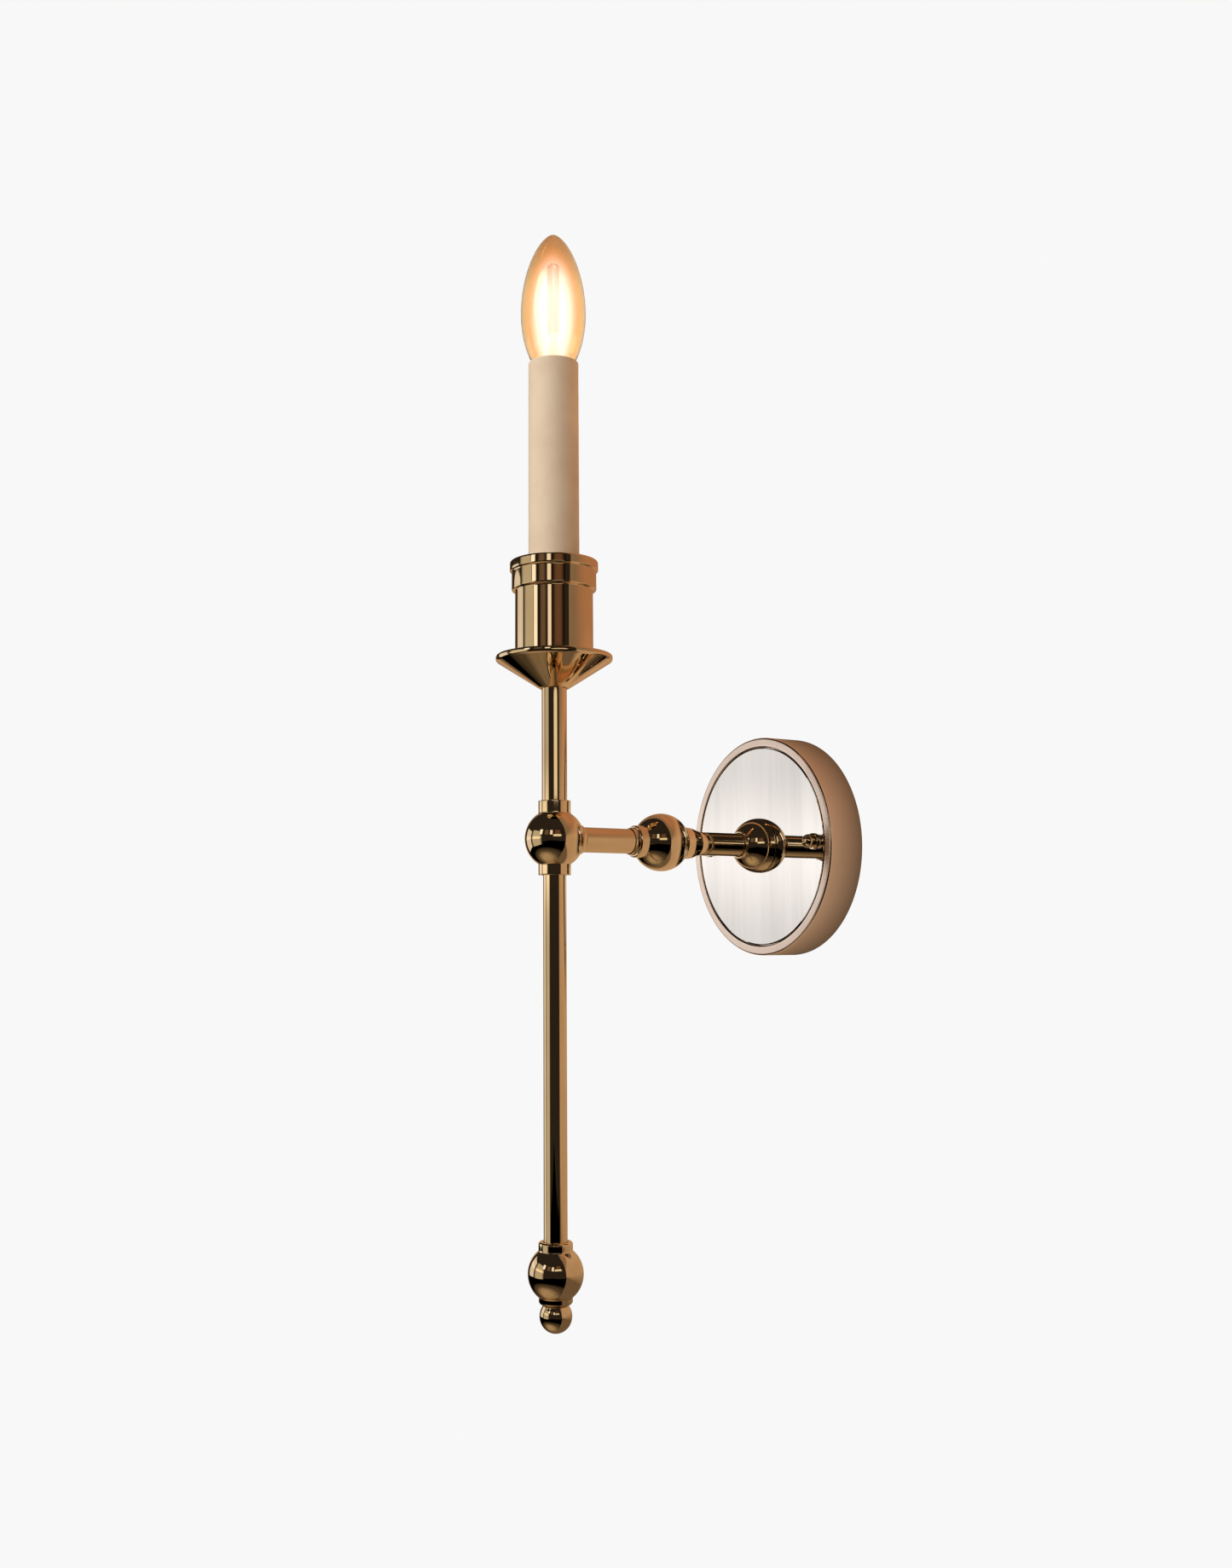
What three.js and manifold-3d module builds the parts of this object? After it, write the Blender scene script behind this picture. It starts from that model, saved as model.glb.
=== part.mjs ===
// Brass wall sconce with one electric candle, in millimetres, +Z up.
// The wall is the plane y = 0 and the room lies towards -Y. The origin is on the wall,
// at the centre of the mounting strap and level with the arm.
import * as THREE from 'three';
import { mergeVertices } from 'three/addons/utils/BufferGeometryUtils.js';
import Module from 'manifold-3d';

const wasm = await Module();
wasm.setup();

// Driving dimensions. A depth is a distance from the wall into the room,
// a height is measured up or down from the centre line of the arm.
const GAP = 0.3;
const WELD = 1e-4;

// Numbers of sides of the turned pieces, from the plate down to the small screws.
const WIDE = 36;
const FINE = 24;
const ROUND = 16;
const COARSE = 10;

const PLATE_RADIUS = 60;
const PLATE_DEPTH = 22;
const PLATE_SHEET = 1.2;
const RING_WIDTH = 5.1;
const RING_DROP = 1.2;
const MIRROR_THICKNESS = 3;
const PLATE_FLOOR = PLATE_DEPTH - MIRROR_THICKNESS - 0.7;
const STUD_SPACING = 92;
const STUD_RADIUS = 1.95;
const STUD_HOLE_RADIUS = 2.5;

const ARM_LENGTH = 154;
const ARM_BALL_DEPTH = 88;
const BALL_RADIUS = 15.3;
const COLLAR_RADIUS = 8.3;
const SOCKET_DEPTH = 8.5;
const WIRE_BORE = 4.2;
const OUTER_ARM_RADIUS = 6.5;
const INNER_ARM_RADIUS = 6.3;
const UPPER_STEM_RADIUS = 6.5;
const LOWER_STEM_RADIUS = 5.9;
const TUBE_WALL = 1;

const NIPPLE_RADIUS = 5;
const NIPPLE_BORE = 3.4;
const NUT_ACROSS_FLATS = 14;
const NUT_THICKNESS = 4;
const WASHER_THICKNESS = 1;
const FLEX_RADIUS = 2.1;
const FLEX_TOP = 225.4;

const FINIAL_TOP = -196.8;
const FINIAL_BALL_HEIGHT = -211.9;
const FINIAL_BALL_RADIUS = 13.7;
const FINIAL_BASE = -225.9;
const FINIAL_SOCKET = 7;
const SPIGOT_RADIUS = 3;
const TIP_BALL_HEIGHT = -231.6;
const TIP_BALL_RADIUS = 8;

const PAN_BOTTOM = 77.6;
const PAN_TOP = 94.9;
const PAN_RADIUS = 30.4;
const PAN_SOCKET = 7;
const CUP_BOTTOM = 93.7;
const CUP_FLOOR = 95.2;
const CUP_TOP = 144.9;
const CUP_RADIUS = 20.4;
const CUP_BORE = 19.4;

const SLEEVE_RADIUS = 13.4;
const SLEEVE_BORE = 12.5;
const SLEEVE_TOP = 254.2;

const BULB_BOTTOM = 227;
const BULB_WIDEST = 282.6;
const BULB_TIP = 327.7;
const BULB_RADIUS = 17.5;
const GLASS_WALL = 0.8;
const GLASS_LOWER_HALF = 36.5;
const GLASS_NECK_END = 253.9;
const THREAD_PITCH = 2.82;
const THREAD_DEPTH = 0.4;
const THREAD_BOTTOM = 233.4;
const THREAD_TURNS = 5.5;
const CAP_MEAN_RADIUS = 6.55;
const SHELL_MEAN_RADIUS = 6.9;
const FILAMENT_BOTTOM = 270;
const FILAMENT_TOP = 310;

const polishedBrass = { color: 0xc9954f, roughness: 0.12, metalness: 1 };
const mirrorSilver = { color: 0xe6e2de, roughness: 0.04, metalness: 1 };
const zincSteel = { color: 0xa8abad, roughness: 0.4, metalness: 1 };
const creamSleeve = { color: 0xe0ccb0, roughness: 0.65, metalness: 0 };
const whitePlastic = { color: 0xe9e6df, roughness: 0.5, metalness: 0 };
const blackGlass = { color: 0x151313, roughness: 0.3, metalness: 0 };
const nickelPlate = { color: 0xb9b4aa, roughness: 0.3, metalness: 1 };
const warmGlass = { color: 0xffc98a, roughness: 0.05, metalness: 0, transparent: true, opacity: 0.4 };
const litFilament = { color: 0xfff2d0, roughness: 0.6, metalness: 0 };
const flexSheath = { color: 0xe4dccb, roughness: 0.6, metalness: 0 };

const sconce = new THREE.Group();

// ---- helpers: solids, turned shapes and booleans ----

function toSolid(geometry) {
  const bare = geometry.clone();
  bare.deleteAttribute('normal');
  bare.deleteAttribute('uv');
  const merged = mergeVertices(bare, WELD);
  const mesh = new wasm.Mesh({
    numProp: 3,
    vertProperties: new Float32Array(merged.attributes.position.array),
    triVerts: outwardTriangles(merged),
  });
  return new wasm.Manifold(mesh);
}

// Drops triangles that collapsed at a pole and turns the rest so that they face outwards.
function outwardTriangles(geometry) {
  const index = geometry.index.array;
  const kept = [];
  for (let i = 0; i < index.length; i += 3) {
    const [a, b, c] = [index[i], index[i + 1], index[i + 2]];
    if (a !== b && b !== c && c !== a) {
      kept.push(a, b, c);
    }
  }
  const corner = [new THREE.Vector3(), new THREE.Vector3(), new THREE.Vector3()];
  let volume = 0;
  for (let i = 0; i < kept.length; i += 3) {
    corner.forEach((point, k) => point.fromBufferAttribute(geometry.attributes.position, kept[i + k]));
    volume += corner[0].dot(corner[1].clone().cross(corner[2]));
  }
  if (volume < 0) {
    for (let i = 0; i < kept.length; i += 3) {
      [kept[i], kept[i + 1]] = [kept[i + 1], kept[i]];
    }
  }
  return new Uint32Array(kept);
}

function toGeometry(solid) {
  const mesh = solid.getMesh();
  const geometry = new THREE.BufferGeometry();
  geometry.setAttribute('position', new THREE.BufferAttribute(mesh.vertProperties, 3));
  geometry.setIndex(new THREE.BufferAttribute(mesh.triVerts, 1));
  geometry.computeVertexNormals();
  return geometry;
}

function addPart(name, solid, look) {
  const mesh = new THREE.Mesh(toGeometry(solid), new THREE.MeshStandardMaterial(look));
  mesh.name = name;
  sconce.add(mesh);
}

// An arc of a turned profile, as [radius, station] points between two angles in degrees.
function arc(centreRadius, centreStation, radius, from, to, steps) {
  const points = [];
  for (let i = 0; i <= steps; i += 1) {
    const angle = THREE.MathUtils.degToRad(from + ((to - from) * i) / steps);
    points.push([centreRadius + radius * Math.cos(angle), centreStation + radius * Math.sin(angle)]);
  }
  return points;
}

// The angle, in degrees from a ball's middle, where its outline meets a collar.
function angleAt(collarRadius, ballRadius) {
  return THREE.MathUtils.radToDeg(Math.acos(collarRadius / ballRadius));
}

// Turns a profile of [radius, height] points about the vertical line x = 0, y = axisDepth.
// A profile that leaves the axis closes on itself as a ring.
function turnedUp(profile, segments, axisDepth = ARM_LENGTH) {
  const points = closedProfile(profile);
  const geometry = new THREE.LatheGeometry(points, segments);
  geometry.rotateX(Math.PI / 2);
  geometry.translate(0, -axisDepth, 0);
  return toSolid(geometry);
}

// Turns a profile of [radius, depth] points about a line that runs from the wall into the room.
function turnedOut(profile, segments, x = 0, z = 0) {
  const points = closedProfile(profile);
  const geometry = new THREE.LatheGeometry(points, segments);
  geometry.rotateX(Math.PI);
  geometry.translate(x, 0, z);
  return toSolid(geometry);
}

function closedProfile(profile) {
  const points = profile.map(([radius, station]) => new THREE.Vector2(radius, station));
  const first = points[0];
  const last = points[points.length - 1];
  const isRing = first.x > 0 || last.x > 0;
  if (isRing) {
    points.push(first.clone());
  }
  return points;
}

function ring(inner, outer, from, to) {
  return [[inner, from], [outer, from], [outer, to], [inner, to]];
}

function rod(radius, from, to) {
  return [[0, from], [radius, from], [radius, to], [0, to]];
}

function box(centre, size) {
  const geometry = new THREE.BoxGeometry(size[0], size[1], size[2]);
  geometry.translate(centre[0], centre[1], centre[2]);
  return toSolid(geometry);
}

// A hexagon nut with a round bore, lying on a depth or a height as `turn` says.
function hexNut(turn, from, to) {
  const corner = NUT_ACROSS_FLATS / Math.sqrt(3);
  return turn(ring(NIPPLE_RADIUS + GAP, corner, from, to), 6).subtract(
    turn(rod(NIPPLE_RADIUS + GAP, from - 1, to + 1), ROUND),
  );
}

// ---- what fastens the lamp to the wall ----

const EARTH_HEIGHT = 30;
const EARTH_SHANK_RADIUS = 1.75;

// A strap bent forward at both ends, with a cross bar for the earth screw and two screw slots.
function wallBracket() {
  const half = 52;
  const riseFrom = 32;
  const riseTo = 36;
  const sheet = 2;
  const lift = 4;
  const bendCut = 0.8;
  const width = 18;
  const crossLength = 84;
  const slotSpacing = 44;
  const slotSize = [12, 3 * sheet, 5];
  const side = new THREE.Shape();
  side.moveTo(-half, -lift);
  side.lineTo(-riseTo, -lift);
  side.lineTo(-riseFrom, 0);
  side.lineTo(riseFrom, 0);
  side.lineTo(riseTo, -lift);
  side.lineTo(half, -lift);
  side.lineTo(half, -lift - sheet);
  side.lineTo(riseTo - bendCut, -lift - sheet);
  side.lineTo(riseFrom - bendCut, -sheet);
  side.lineTo(-riseFrom + bendCut, -sheet);
  side.lineTo(-riseTo + bendCut, -lift - sheet);
  side.lineTo(-half, -lift - sheet);
  side.closePath();
  const geometry = new THREE.ExtrudeGeometry(side, { depth: width, bevelEnabled: false });
  geometry.translate(0, 0, -width / 2);
  let strap = toSolid(geometry).add(box([0, -sheet / 2, 0], [width, sheet, crossLength]));
  for (const x of [-slotSpacing / 2, slotSpacing / 2]) {
    strap = strap.subtract(box([x, -sheet / 2, 0], slotSize));
  }
  for (const x of [-STUD_SPACING / 2, STUD_SPACING / 2]) {
    strap = strap.subtract(turnedOut(rod(STUD_RADIUS + GAP, lift - 1, lift + 2 * sheet), ROUND, x));
  }
  const earthHole = turnedOut(rod(EARTH_SHANK_RADIUS + GAP, -1, 2 * sheet), COARSE, 0, EARTH_HEIGHT);
  return strap.subtract(earthHole);
}

function wallStud(x) {
  const headRadius = 3.9;
  const headFrom = 0.6;
  const headTo = 3.6;
  const end = PLATE_DEPTH + 3.6;
  return turnedOut(
    [
      [0, headFrom],
      [headRadius, headFrom],
      [headRadius, headTo],
      [STUD_RADIUS, headTo],
      [STUD_RADIUS, end],
      [0, end],
    ],
    COARSE,
    x,
  );
}

function capNut(x) {
  const base = PLATE_DEPTH;
  const domeRadius = 3.7;
  const domeCentre = base + 3;
  const boreRadius = STUD_RADIUS + GAP;
  return turnedOut(
    [
      [boreRadius, base],
      [domeRadius + 0.6, base],
      [domeRadius + 0.6, base + 0.7],
      ...arc(0, domeCentre, domeRadius, -30, 90, 6).filter(([, depth]) => depth > base + 0.8),
      [0, base + 4.2],
      [boreRadius, base + 4.2],
    ],
    ROUND,
    x,
  );
}

function earthScrew() {
  const headRadius = 3.4;
  const headFrom = 2.3;
  const headTo = 5;
  const screw = turnedOut(
    [
      [0, 0.4],
      [EARTH_SHANK_RADIUS, 0.4],
      [EARTH_SHANK_RADIUS, headFrom],
      [headRadius, headFrom],
      [headRadius, headTo - 0.6],
      [headRadius - 0.8, headTo],
      [0, headTo],
    ],
    COARSE,
    0,
    EARTH_HEIGHT,
  );
  return screw.subtract(box([0, -headTo, EARTH_HEIGHT], [8, 1.4, 0.8]));
}

const BLOCK_CENTRE = [0, -7.8, -27];
const BLOCK_SIZE = [28, 11, 15];
const BLOCK_PITCH = 9;

function terminalBlock() {
  let block = box(BLOCK_CENTRE, BLOCK_SIZE);
  for (const way of [-1, 0, 1]) {
    const x = way * BLOCK_PITCH;
    const wireWay = turnedUp(rod(1.7, -40, -15), COARSE, -BLOCK_CENTRE[1]);
    block = block.subtract(wireWay.translate([x, 0, 0]));
    block = block.subtract(turnedOut(rod(2.2, 9, 15), COARSE, x, BLOCK_CENTRE[2]));
  }
  return block;
}

function terminalScrew(way) {
  const x = way * BLOCK_PITCH;
  const screw = turnedOut(rod(1.8, 9.6, 12.4), COARSE, x, BLOCK_CENTRE[2]);
  return screw.subtract(box([x, -12.4, BLOCK_CENTRE[2]], [4, 1.2, 0.7]));
}

// ---- the round back plate with its mirror ----

function backPlate() {
  const corner = 1.6;
  const mouth = PLATE_RADIUS - RING_WIDTH;
  const shoulder = PLATE_DEPTH - RING_DROP;
  let pan = turnedOut(
    [
      [PLATE_RADIUS - PLATE_SHEET, 0],
      [PLATE_RADIUS, 0],
      ...arc(PLATE_RADIUS - corner, shoulder - corner, corner, 0, 76, 5),
      [mouth + 2.4, PLATE_DEPTH - 0.3],
      [mouth + 0.6, PLATE_DEPTH],
      [mouth, PLATE_DEPTH - 0.4],
      [mouth, PLATE_FLOOR],
      [NIPPLE_RADIUS + GAP, PLATE_FLOOR],
      [NIPPLE_RADIUS + GAP, PLATE_FLOOR - PLATE_SHEET],
      [mouth + PLATE_SHEET, PLATE_FLOOR - PLATE_SHEET],
      [mouth + PLATE_SHEET, PLATE_DEPTH - 1.9],
      [PLATE_RADIUS - PLATE_SHEET, shoulder - 1.6],
    ],
    WIDE,
  );
  for (const x of [-STUD_SPACING / 2, STUD_SPACING / 2]) {
    pan = pan.subtract(turnedOut(rod(STUD_HOLE_RADIUS, 10, 30), COARSE, x));
  }
  return pan;
}

function mirrorDisc() {
  const front = PLATE_DEPTH - GAP;
  const back = front - MIRROR_THICKNESS;
  const edge = PLATE_RADIUS - RING_WIDTH - 0.6;
  const bevel = 1.1;
  let glass = turnedOut(
    [
      [NIPPLE_RADIUS + GAP, back],
      [edge, back],
      [edge, front - 0.6],
      [edge - bevel, front],
      [NIPPLE_RADIUS + GAP, front],
    ],
    WIDE,
  );
  for (const x of [-STUD_SPACING / 2, STUD_SPACING / 2]) {
    glass = glass.subtract(turnedOut(rod(STUD_HOLE_RADIUS, 10, 30), COARSE, x));
  }
  return glass;
}

// ---- the arm ----

const HUB_SOCKET_FLOOR = PLATE_DEPTH + 8;

function hubHalfBall() {
  const lip = 7.4;
  const radius = BALL_RADIUS - 0.2;
  const socket = INNER_ARM_RADIUS + GAP;
  const face = PLATE_DEPTH + 14.4;
  return turnedOut(
    [
      [NIPPLE_RADIUS + GAP, PLATE_DEPTH],
      ...arc(0, PLATE_DEPTH, radius, 0, angleAt(lip, radius), 6),
      [lip, face - 0.4],
      [lip - 0.4, face],
      [socket, face],
      [socket, HUB_SOCKET_FLOOR],
      [NIPPLE_RADIUS + GAP, HUB_SOCKET_FLOOR],
    ],
    FINE,
  );
}

const ARM_BALL_WALL_END = 23;
const ARM_BALL_STEM_END = 20.3;

function armTube(radius, from, to) {
  return turnedOut(ring(radius - TUBE_WALL, radius, from, to), ROUND);
}

// The ball half way along the arm. Its collar on the stem side is stepped,
// and the one on the wall side tapers in a hollow curve down to the thinner tube.
function armBall() {
  const centre = ARM_BALL_DEPTH;
  const wallEnd = centre - ARM_BALL_WALL_END;
  const stemEnd = centre + ARM_BALL_STEM_END;
  const rim = 8.4;
  const neck = 7;
  const meet = angleAt(rim, BALL_RADIUS);
  const innerSocket = INNER_ARM_RADIUS + GAP;
  const outerSocket = OUTER_ARM_RADIUS + GAP;
  return turnedOut(
    [
      [innerSocket, wallEnd],
      [neck - 0.1, wallEnd],
      [neck + 0.3, centre - 20.6],
      [rim - 0.4, centre - 17.6],
      [rim, centre - 16.6],
      ...arc(0, centre, BALL_RADIUS, -meet, meet, 10),
      [rim, centre + 17.2],
      [rim - 0.5, centre + 17.8],
      [neck, centre + 18.2],
      [neck, stemEnd],
      [outerSocket, stemEnd],
      [outerSocket, stemEnd - SOCKET_DEPTH],
      [WIRE_BORE, stemEnd - SOCKET_DEPTH],
      [WIRE_BORE, wallEnd + SOCKET_DEPTH],
      [innerSocket, wallEnd + SOCKET_DEPTH],
    ],
    FINE,
  );
}

const TEE_COLLAR_END = 19.4;
const TEE_ARM_LIP = 15.4;
const TEE_ARM_SOCKET = 6;
const TEE_LOWER_END = -18.4;

// The ball where the arm meets the stem, bored across for the wires.
function teeBall() {
  const meet = angleAt(COLLAR_RADIUS, BALL_RADIUS);
  const body = turnedUp(
    [
      [0, TEE_LOWER_END],
      [COLLAR_RADIUS - 0.3, TEE_LOWER_END],
      [COLLAR_RADIUS, TEE_LOWER_END + 0.4],
      ...arc(0, 0, BALL_RADIUS, -meet, meet, 10),
      [COLLAR_RADIUS, TEE_COLLAR_END - 0.4],
      [COLLAR_RADIUS - 0.3, TEE_COLLAR_END],
      [0, TEE_COLLAR_END],
    ],
    FINE,
  );
  const clear = 20;
  const lipFrom = ARM_LENGTH - TEE_ARM_LIP;
  const lip = turnedOut(rod(7.6, lipFrom, ARM_LENGTH - 10), FINE);
  const socketTo = lipFrom + TEE_ARM_SOCKET;
  const armSocket = turnedOut(rod(OUTER_ARM_RADIUS + GAP, ARM_LENGTH - clear, socketTo), FINE);
  const armBore = turnedOut(rod(WIRE_BORE, ARM_LENGTH - clear, ARM_LENGTH + 1), COARSE);
  const upperSocket = turnedUp(rod(UPPER_STEM_RADIUS + GAP, TEE_COLLAR_END - SOCKET_DEPTH, clear), FINE);
  const lowerSocket = turnedUp(rod(LOWER_STEM_RADIUS + GAP, -clear, TEE_LOWER_END + SOCKET_DEPTH), FINE);
  const stemBore = turnedUp(rod(WIRE_BORE, -clear, clear), COARSE);
  return body.add(lip).subtract(armSocket).subtract(armBore)
    .subtract(upperSocket).subtract(lowerSocket).subtract(stemBore);
}

// ---- the stem and its finial ----

function stemTube(radius, from, to) {
  return turnedUp(ring(radius - TUBE_WALL, radius, from, to), ROUND);
}

function finialBall() {
  const upper = 8.45;
  const lower = 8.3;
  const socket = LOWER_STEM_RADIUS + GAP;
  const bore = SPIGOT_RADIUS + GAP;
  const base = FINIAL_BASE;
  return turnedUp(
    [
      [bore, base],
      [lower - 0.8, base],
      [lower, base + 0.9],
      ...arc(0, FINIAL_BALL_HEIGHT, FINIAL_BALL_RADIUS,
        -angleAt(lower, FINIAL_BALL_RADIUS), angleAt(upper, FINIAL_BALL_RADIUS), 10),
      [upper, FINIAL_TOP - 0.7],
      [upper - 0.7, FINIAL_TOP],
      [socket, FINIAL_TOP],
      [socket, FINIAL_TOP - FINIAL_SOCKET],
      [bore, FINIAL_TOP - FINIAL_SOCKET],
    ],
    FINE,
  );
}

function finialTip() {
  const neck = 6.6;
  const shoulder = FINIAL_BASE - GAP;
  const spigotTop = shoulder + 12;
  return turnedUp(
    [
      ...arc(0, TIP_BALL_HEIGHT, TIP_BALL_RADIUS, -90, angleAt(neck, TIP_BALL_RADIUS), 9),
      [neck - 0.2, shoulder - 0.4],
      [neck - 0.6, shoulder],
      [SPIGOT_RADIUS, shoulder],
      [SPIGOT_RADIUS, spigotTop],
      [0, spigotTop],
    ],
    ROUND,
  );
}

// ---- pan, cup and candle sleeve ----

function dripPan() {
  const socket = UPPER_STEM_RADIUS + GAP;
  const floor = CUP_BOTTOM - GAP;
  return turnedUp(
    [
      [socket, PAN_BOTTOM],
      [socket + 0.9, PAN_BOTTOM],
      [PAN_RADIUS - 0.5, PAN_TOP - 3.2],
      [PAN_RADIUS, PAN_TOP - 2.4],
      [PAN_RADIUS, PAN_TOP - 0.6],
      [PAN_RADIUS - 0.6, PAN_TOP],
      [PAN_RADIUS - 1.4, PAN_TOP],
      [PAN_RADIUS - 2.2, floor],
      [NIPPLE_RADIUS + GAP, floor],
      [NIPPLE_RADIUS + GAP, PAN_BOTTOM + PAN_SOCKET],
      [socket, PAN_BOTTOM + PAN_SOCKET],
    ],
    WIDE,
  );
}

function candleCup() {
  const bandFrom = 129.3;
  const rimFrom = 139.6;
  const band = CUP_RADIUS + 1.8;
  const rim = CUP_RADIUS + 2.8;
  return turnedUp(
    [
      [NIPPLE_RADIUS + GAP, CUP_BOTTOM],
      [CUP_RADIUS - 0.5, CUP_BOTTOM],
      [CUP_RADIUS, CUP_BOTTOM + 0.5],
      [CUP_RADIUS, bandFrom],
      [band - 0.3, bandFrom + 0.4],
      [band, bandFrom + 1.2],
      [band, rimFrom],
      [rim - 0.2, rimFrom + 0.4],
      [rim, rimFrom + 1.2],
      [rim, CUP_TOP - 1],
      [rim - 0.6, CUP_TOP - 0.1],
      [CUP_BORE + 0.6, CUP_TOP],
      [CUP_BORE, CUP_TOP - 0.6],
      [CUP_BORE, CUP_FLOOR],
      [NIPPLE_RADIUS + GAP, CUP_FLOOR],
    ],
    WIDE,
  );
}

function candleSleeve() {
  const bottom = CUP_FLOOR + GAP;
  return turnedUp(
    [
      [SLEEVE_BORE, bottom],
      [SLEEVE_RADIUS, bottom],
      [SLEEVE_RADIUS, SLEEVE_TOP - 0.9],
      [SLEEVE_RADIUS - 0.3, SLEEVE_TOP - 0.2],
      [SLEEVE_RADIUS - 0.6, SLEEVE_TOP],
      [SLEEVE_BORE, SLEEVE_TOP],
    ],
    WIDE,
  );
}

// ---- the lamp holder inside the sleeve ----

// A rounded screw thread drawn as rings, so that cap and shell clear each other all the way round.
function threadWave(mean) {
  const points = [];
  for (let i = 0; i <= 2 * THREAD_TURNS; i += 1) {
    const crest = i % 2 === 0 ? THREAD_DEPTH : -THREAD_DEPTH;
    points.push([mean + crest, THREAD_BOTTOM + (i * THREAD_PITCH) / 2]);
  }
  return points;
}

function lampHolder() {
  const bore = NIPPLE_RADIUS + GAP;
  const pocket = 8.7;
  const outer = 11.8;
  return turnedUp(
    [
      [bore, 214],
      [8, 214],
      [8, 220],
      [outer, 223],
      [outer, 251],
      [outer - 0.6, 251.6],
      [pocket, 251.6],
      [pocket, 226],
      [3, 226],
      [3, 224.5],
      [bore, 224.5],
    ],
    ROUND,
  );
}

function holderShell() {
  const wall = 0.45;
  const inside = threadWave(SHELL_MEAN_RADIUS);
  const outside = threadWave(SHELL_MEAN_RADIUS + wall).reverse();
  return turnedUp([...inside, ...outside], ROUND);
}

function holderContact() {
  return box([0, -ARM_LENGTH, 226.45], [9, 3.4, 0.3]);
}

// ---- the bulb ----

function bulbCap() {
  const wall = 0.4;
  const skirtFrom = 250;
  const skirtTo = 253.5;
  const thread = threadWave(CAP_MEAN_RADIUS);
  const skirtRadius = 8.1;
  const skirt = [
    [skirtRadius - 0.5, skirtFrom],
    [skirtRadius, skirtFrom + 0.6],
    [skirtRadius, skirtTo],
    [skirtRadius - wall, skirtTo],
    [skirtRadius - wall, skirtFrom + 1],
  ];
  const inside = thread.map(([radius, height]) => [radius - wall, height]).reverse();
  return turnedUp([[5.6, 232], [6.1, 232], ...thread, ...skirt, ...inside, [5.6, 232.4]], ROUND);
}

function bulbInsulator() {
  return turnedUp([[0, 228.6], [3, 228.6], [5.4, 230.6], [6, 231.7], [0, 231.7]], ROUND);
}

function bulbContact() {
  const tip = 1.4;
  const flat = BULB_BOTTOM + 1.3;
  return turnedUp([...arc(0, BULB_BOTTOM + tip, tip, -90, -12, 4), [2.2, flat], [0, flat]], COARSE);
}

// Half width of the candle-shaped glass at a height.
function glassRadius(height) {
  const drop = BULB_WIDEST - height;
  if (drop > 0) {
    return BULB_RADIUS * Math.sqrt(1 - (drop / GLASS_LOWER_HALF) ** 2);
  }
  const rise = -drop / (BULB_TIP - BULB_WIDEST);
  return BULB_RADIUS * Math.max(0, 1 - rise ** 1.9) ** 0.62;
}

function bulbGlass() {
  const step = 5.2;
  const outside = [[7.9, GLASS_NECK_END], [10.2, GLASS_NECK_END + 0.7]];
  for (let height = GLASS_NECK_END + 2.1; height < BULB_WIDEST; height += step) {
    outside.push([glassRadius(height), height]);
  }
  for (let height = BULB_WIDEST; height < BULB_TIP - 6; height += step) {
    outside.push([glassRadius(height), height]);
  }
  for (const fromTip of [4, 1.2]) {
    outside.push([glassRadius(BULB_TIP - fromTip), BULB_TIP - fromTip]);
  }
  const inside = outside.map(([radius, height]) => [radius - GLASS_WALL, height]).reverse();
  inside.splice(0, 2);
  return turnedUp([...outside, [0, BULB_TIP], [0, BULB_TIP - step], ...inside], ROUND);
}

function bulbStem() {
  return turnedUp(
    [
      [0, 254.6],
      [6.2, 254.6],
      [5.6, 256],
      [3.4, 258],
      [2.4, 261],
      [1.9, 266],
      [1.6, 268],
      [0, 268.4],
    ],
    COARSE,
  );
}

const FILAMENT_CIRCLE = 2.6;
const FILAMENT_RADIUS = 0.9;
const RING_HALF = 0.35;

function filament(quarter) {
  const angle = (Math.PI / 2) * quarter + Math.PI / 5;
  const rodShape = turnedUp(rod(FILAMENT_RADIUS, FILAMENT_BOTTOM + 1, FILAMENT_TOP - 1), 10);
  return rodShape.translate([FILAMENT_CIRCLE * Math.cos(angle), FILAMENT_CIRCLE * Math.sin(angle), 0]);
}

// The small wire ring that joins the filaments' ends.
function filamentRing(height) {
  const wire = [FILAMENT_CIRCLE - 0.5, FILAMENT_CIRCLE + 0.5];
  return turnedUp(ring(...wire, height - RING_HALF, height + RING_HALF), COARSE);
}

// ---- wiring ----

// Twin flex from the terminal block, through the arm and up the stem to the lamp holder.
function innerFlex() {
  const bend = 6;
  const blockDepth = -BLOCK_CENTRE[1];
  const start = BLOCK_CENTRE[2] + BLOCK_SIZE[2] / 2 + GAP;
  const lowDepth = 4.6;
  const turnDepth = 10.5;
  const route = new THREE.CurvePath();
  const at = (depth, height) => new THREE.Vector3(0, -depth, height);
  const bezier = (...points) => route.add(new THREE.CubicBezierCurve3(...points));
  const line = (...points) => route.add(new THREE.LineCurve3(...points));
  bezier(at(blockDepth, start), at(blockDepth, start + 4), at(lowDepth, -9), at(lowDepth, -bend));
  bezier(at(lowDepth, -bend), at(lowDepth, -2.6), at(7.2, 0), at(turnDepth, 0));
  line(at(turnDepth, 0), at(ARM_LENGTH - bend, 0));
  const ease = bend / 2.2;
  bezier(at(ARM_LENGTH - bend, 0), at(ARM_LENGTH - ease, 0), at(ARM_LENGTH, ease), at(ARM_LENGTH, bend));
  line(at(ARM_LENGTH, bend), at(ARM_LENGTH, FLEX_TOP));
  const section = new THREE.Shape();
  section.moveTo(FLEX_RADIUS, 0);
  for (let i = 1; i < 6; i += 1) {
    const angle = (i * Math.PI) / 3;
    section.lineTo(FLEX_RADIUS * Math.cos(angle), FLEX_RADIUS * Math.sin(angle));
  }
  section.closePath();
  return toSolid(new THREE.ExtrudeGeometry(section, { steps: 100, extrudePath: route }));
}

// ---- assembly ----

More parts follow.
